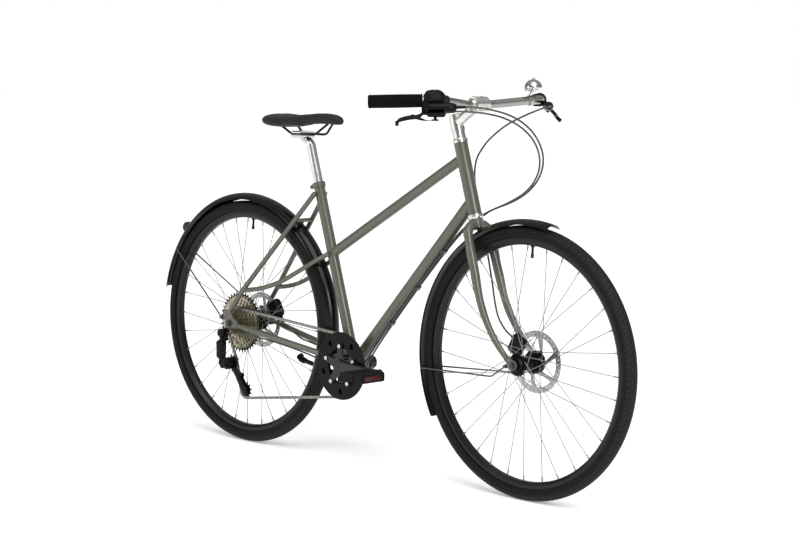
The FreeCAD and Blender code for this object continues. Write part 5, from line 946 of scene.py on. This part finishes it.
def link_shell():
    """A shell down the link: its line bows inwards by a half sine, and its section narrows on the way."""
    outer_y = -0.0975
    bow_depth = 0.003
    top_z = 0.302
    drop = 0.0555
    lean = 0.002
    top_width = 0.0165
    narrowing = 0.0045
    end_height = 0.0055
    bow_height = 0.0015
    t = np.linspace(0, 1, 40)
    ends = closing_ends(t, first=0.18, last=0.14, least=0.03, power=0.5)
    bow = np.sin(np.pi * t)
    line = np.stack([HANGER_BOLT[0] - lean * t, outer_y + bow_depth * bow, top_z - drop * t], axis=-1)
    widths = ends * (top_width - narrowing * t)
    heights = ends * (end_height + bow_height * bow)
    points, faces = oval_sweep(line, (1, 0, 0), RIGHT, widths, heights)
    shell = piece_from("derailleur_shell", points, faces, black_alloy)
    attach(shell, "derailleur_link")


def knuckle_drum():
    """A drum with rounded rims turned about the guide pulley's axis."""
    outer_face = 0.02775
    along = np.array([0, 0.0008, 0.0032, 0.0162, 0.0186, 0.0194])
    radius = np.array([0.0128, 0.0154, 0.0168, 0.0168, 0.0154, 0.0128])
    points, faces = turned_about(GUIDE_PULLEY + outer_face * RIGHT, -RIGHT, along, radius, sides=44)
    drum = piece_from("derailleur_drum", points, faces, black_alloy)
    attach(drum, "derailleur_knuckle")


def cage_plate():
    """A thin plate on the cage towards the tension pulley; its width grows with the square of the length."""
    outer_face = 0.0071
    first = 0.040
    length = 0.070
    first_width = 0.0088
    widening = 0.0072
    edge_height = 0.0004
    crown_height = 0.0007
    t = np.linspace(0, 1, 40)
    run = (TENSION_PULLEY - GUIDE_PULLEY) / np.linalg.norm(TENSION_PULLEY - GUIDE_PULLEY)
    across = np.array([-run[2], 0.0, run[0]])
    line = GUIDE_PULLEY + outer_face * RIGHT + run * (first + length * t[:, None])
    ends = closing_ends(t, first=0.1, last=0.24, least=0.02, power=0.5)
    widths = ends * (first_width + widening * t ** 2)
    points, faces = oval_sweep(line, across, RIGHT, widths, edge_height + crown_height * ends)
    plate = piece_from("cage_end_plate", points, faces, black_alloy)
    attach(plate, "derailleur_cage")


hanger_dome()
link_shell()
knuckle_drum()
cage_plate()


# Floor and light

def pale_floor():
    """A wide, pale and slightly glowing floor, so that it stays near white up to its edge."""
    half = 40
    mesh = bpy.data.meshes.new("studio_floor")
    corners = [(-half, -half, 0), (half, -half, 0), (half, half, 0), (-half, half, 0)]
    mesh.from_pydata(corners, [], [(0, 1, 2, 3)])
    floor = bpy.data.objects.new("studio_floor", mesh)
    scene.collection.objects.link(floor)
    paper = bpy.data.materials.new("pale floor")
    paper.use_nodes = True
    shader = paper.node_tree.nodes["Principled BSDF"]
    shader.inputs["Base Color"].default_value = (0.93, 0.93, 0.93, 1)
    shader.inputs["Roughness"].default_value = 0.75
    shader.inputs["Emission Color"].default_value = (1, 1, 1, 1)
    shader.inputs["Emission Strength"].default_value = 0.22
    mesh.materials.append(paper)


def white_surround():
    """A surround that is white at the horizon, grey above it and paler again overhead."""
    world = bpy.data.worlds.new("white surround")
    world.use_nodes = True
    sky = world.node_tree
    backdrop = sky.nodes["Background"]
    backdrop.inputs["Strength"].default_value = 1.0
    place = sky.nodes.new("ShaderNodeTexCoord")
    parts = sky.nodes.new("ShaderNodeSeparateXYZ")
    ramp = sky.nodes.new("ShaderNodeValToRGB")
    horizon, above = ramp.color_ramp.elements
    horizon.position = 0.06
    horizon.color = (1, 1, 1, 1)
    above.position = 0.22
    above.color = (0.26, 0.26, 0.26, 1)
    overhead = ramp.color_ramp.elements.new(0.85)
    overhead.color = (0.6, 0.6, 0.6, 1)
    sky.links.new(place.outputs["Generated"], parts.inputs[0])
    sky.links.new(parts.outputs["Z"], ramp.inputs["Fac"])
    sky.links.new(ramp.outputs["Color"], backdrop.inputs["Color"])
    scene.world = world


def add_lamp(data, direction, place=(0, 0, 0)):
    """Puts a light in the scene at a place, pointing in a direction."""
    lamp = bpy.data.objects.new(data.name, data)
    lamp.location = place
    lamp.rotation_euler = direction.to_track_quat("-Z", "Y").to_euler()
    scene.collection.objects.link(lamp)


def soft_lights():
    """One broad overhead light, and two panels that point at the bike's middle."""
    middle = Vector((0, 0, 0.5))
    sun = bpy.data.lights.new("overhead_light", "SUN")
    sun.energy = 2.2
    sun.angle = math.radians(55)
    add_lamp(sun, Vector((-0.52, 0.40, -1.0)))
    for name, place, power in (("key_panel", (3.2, -1.2, 1.6), 40.0),
                               ("side_panel", (-1.6, -3.2, 1.8), 26.0)):
        panel = bpy.data.lights.new(name, "AREA")
        panel.size = 1.2
        panel.energy = power
        add_lamp(panel, middle - Vector(place), place)


pale_floor()
white_surround()
soft_lights()
scene.view_settings.view_transform = "Standard"
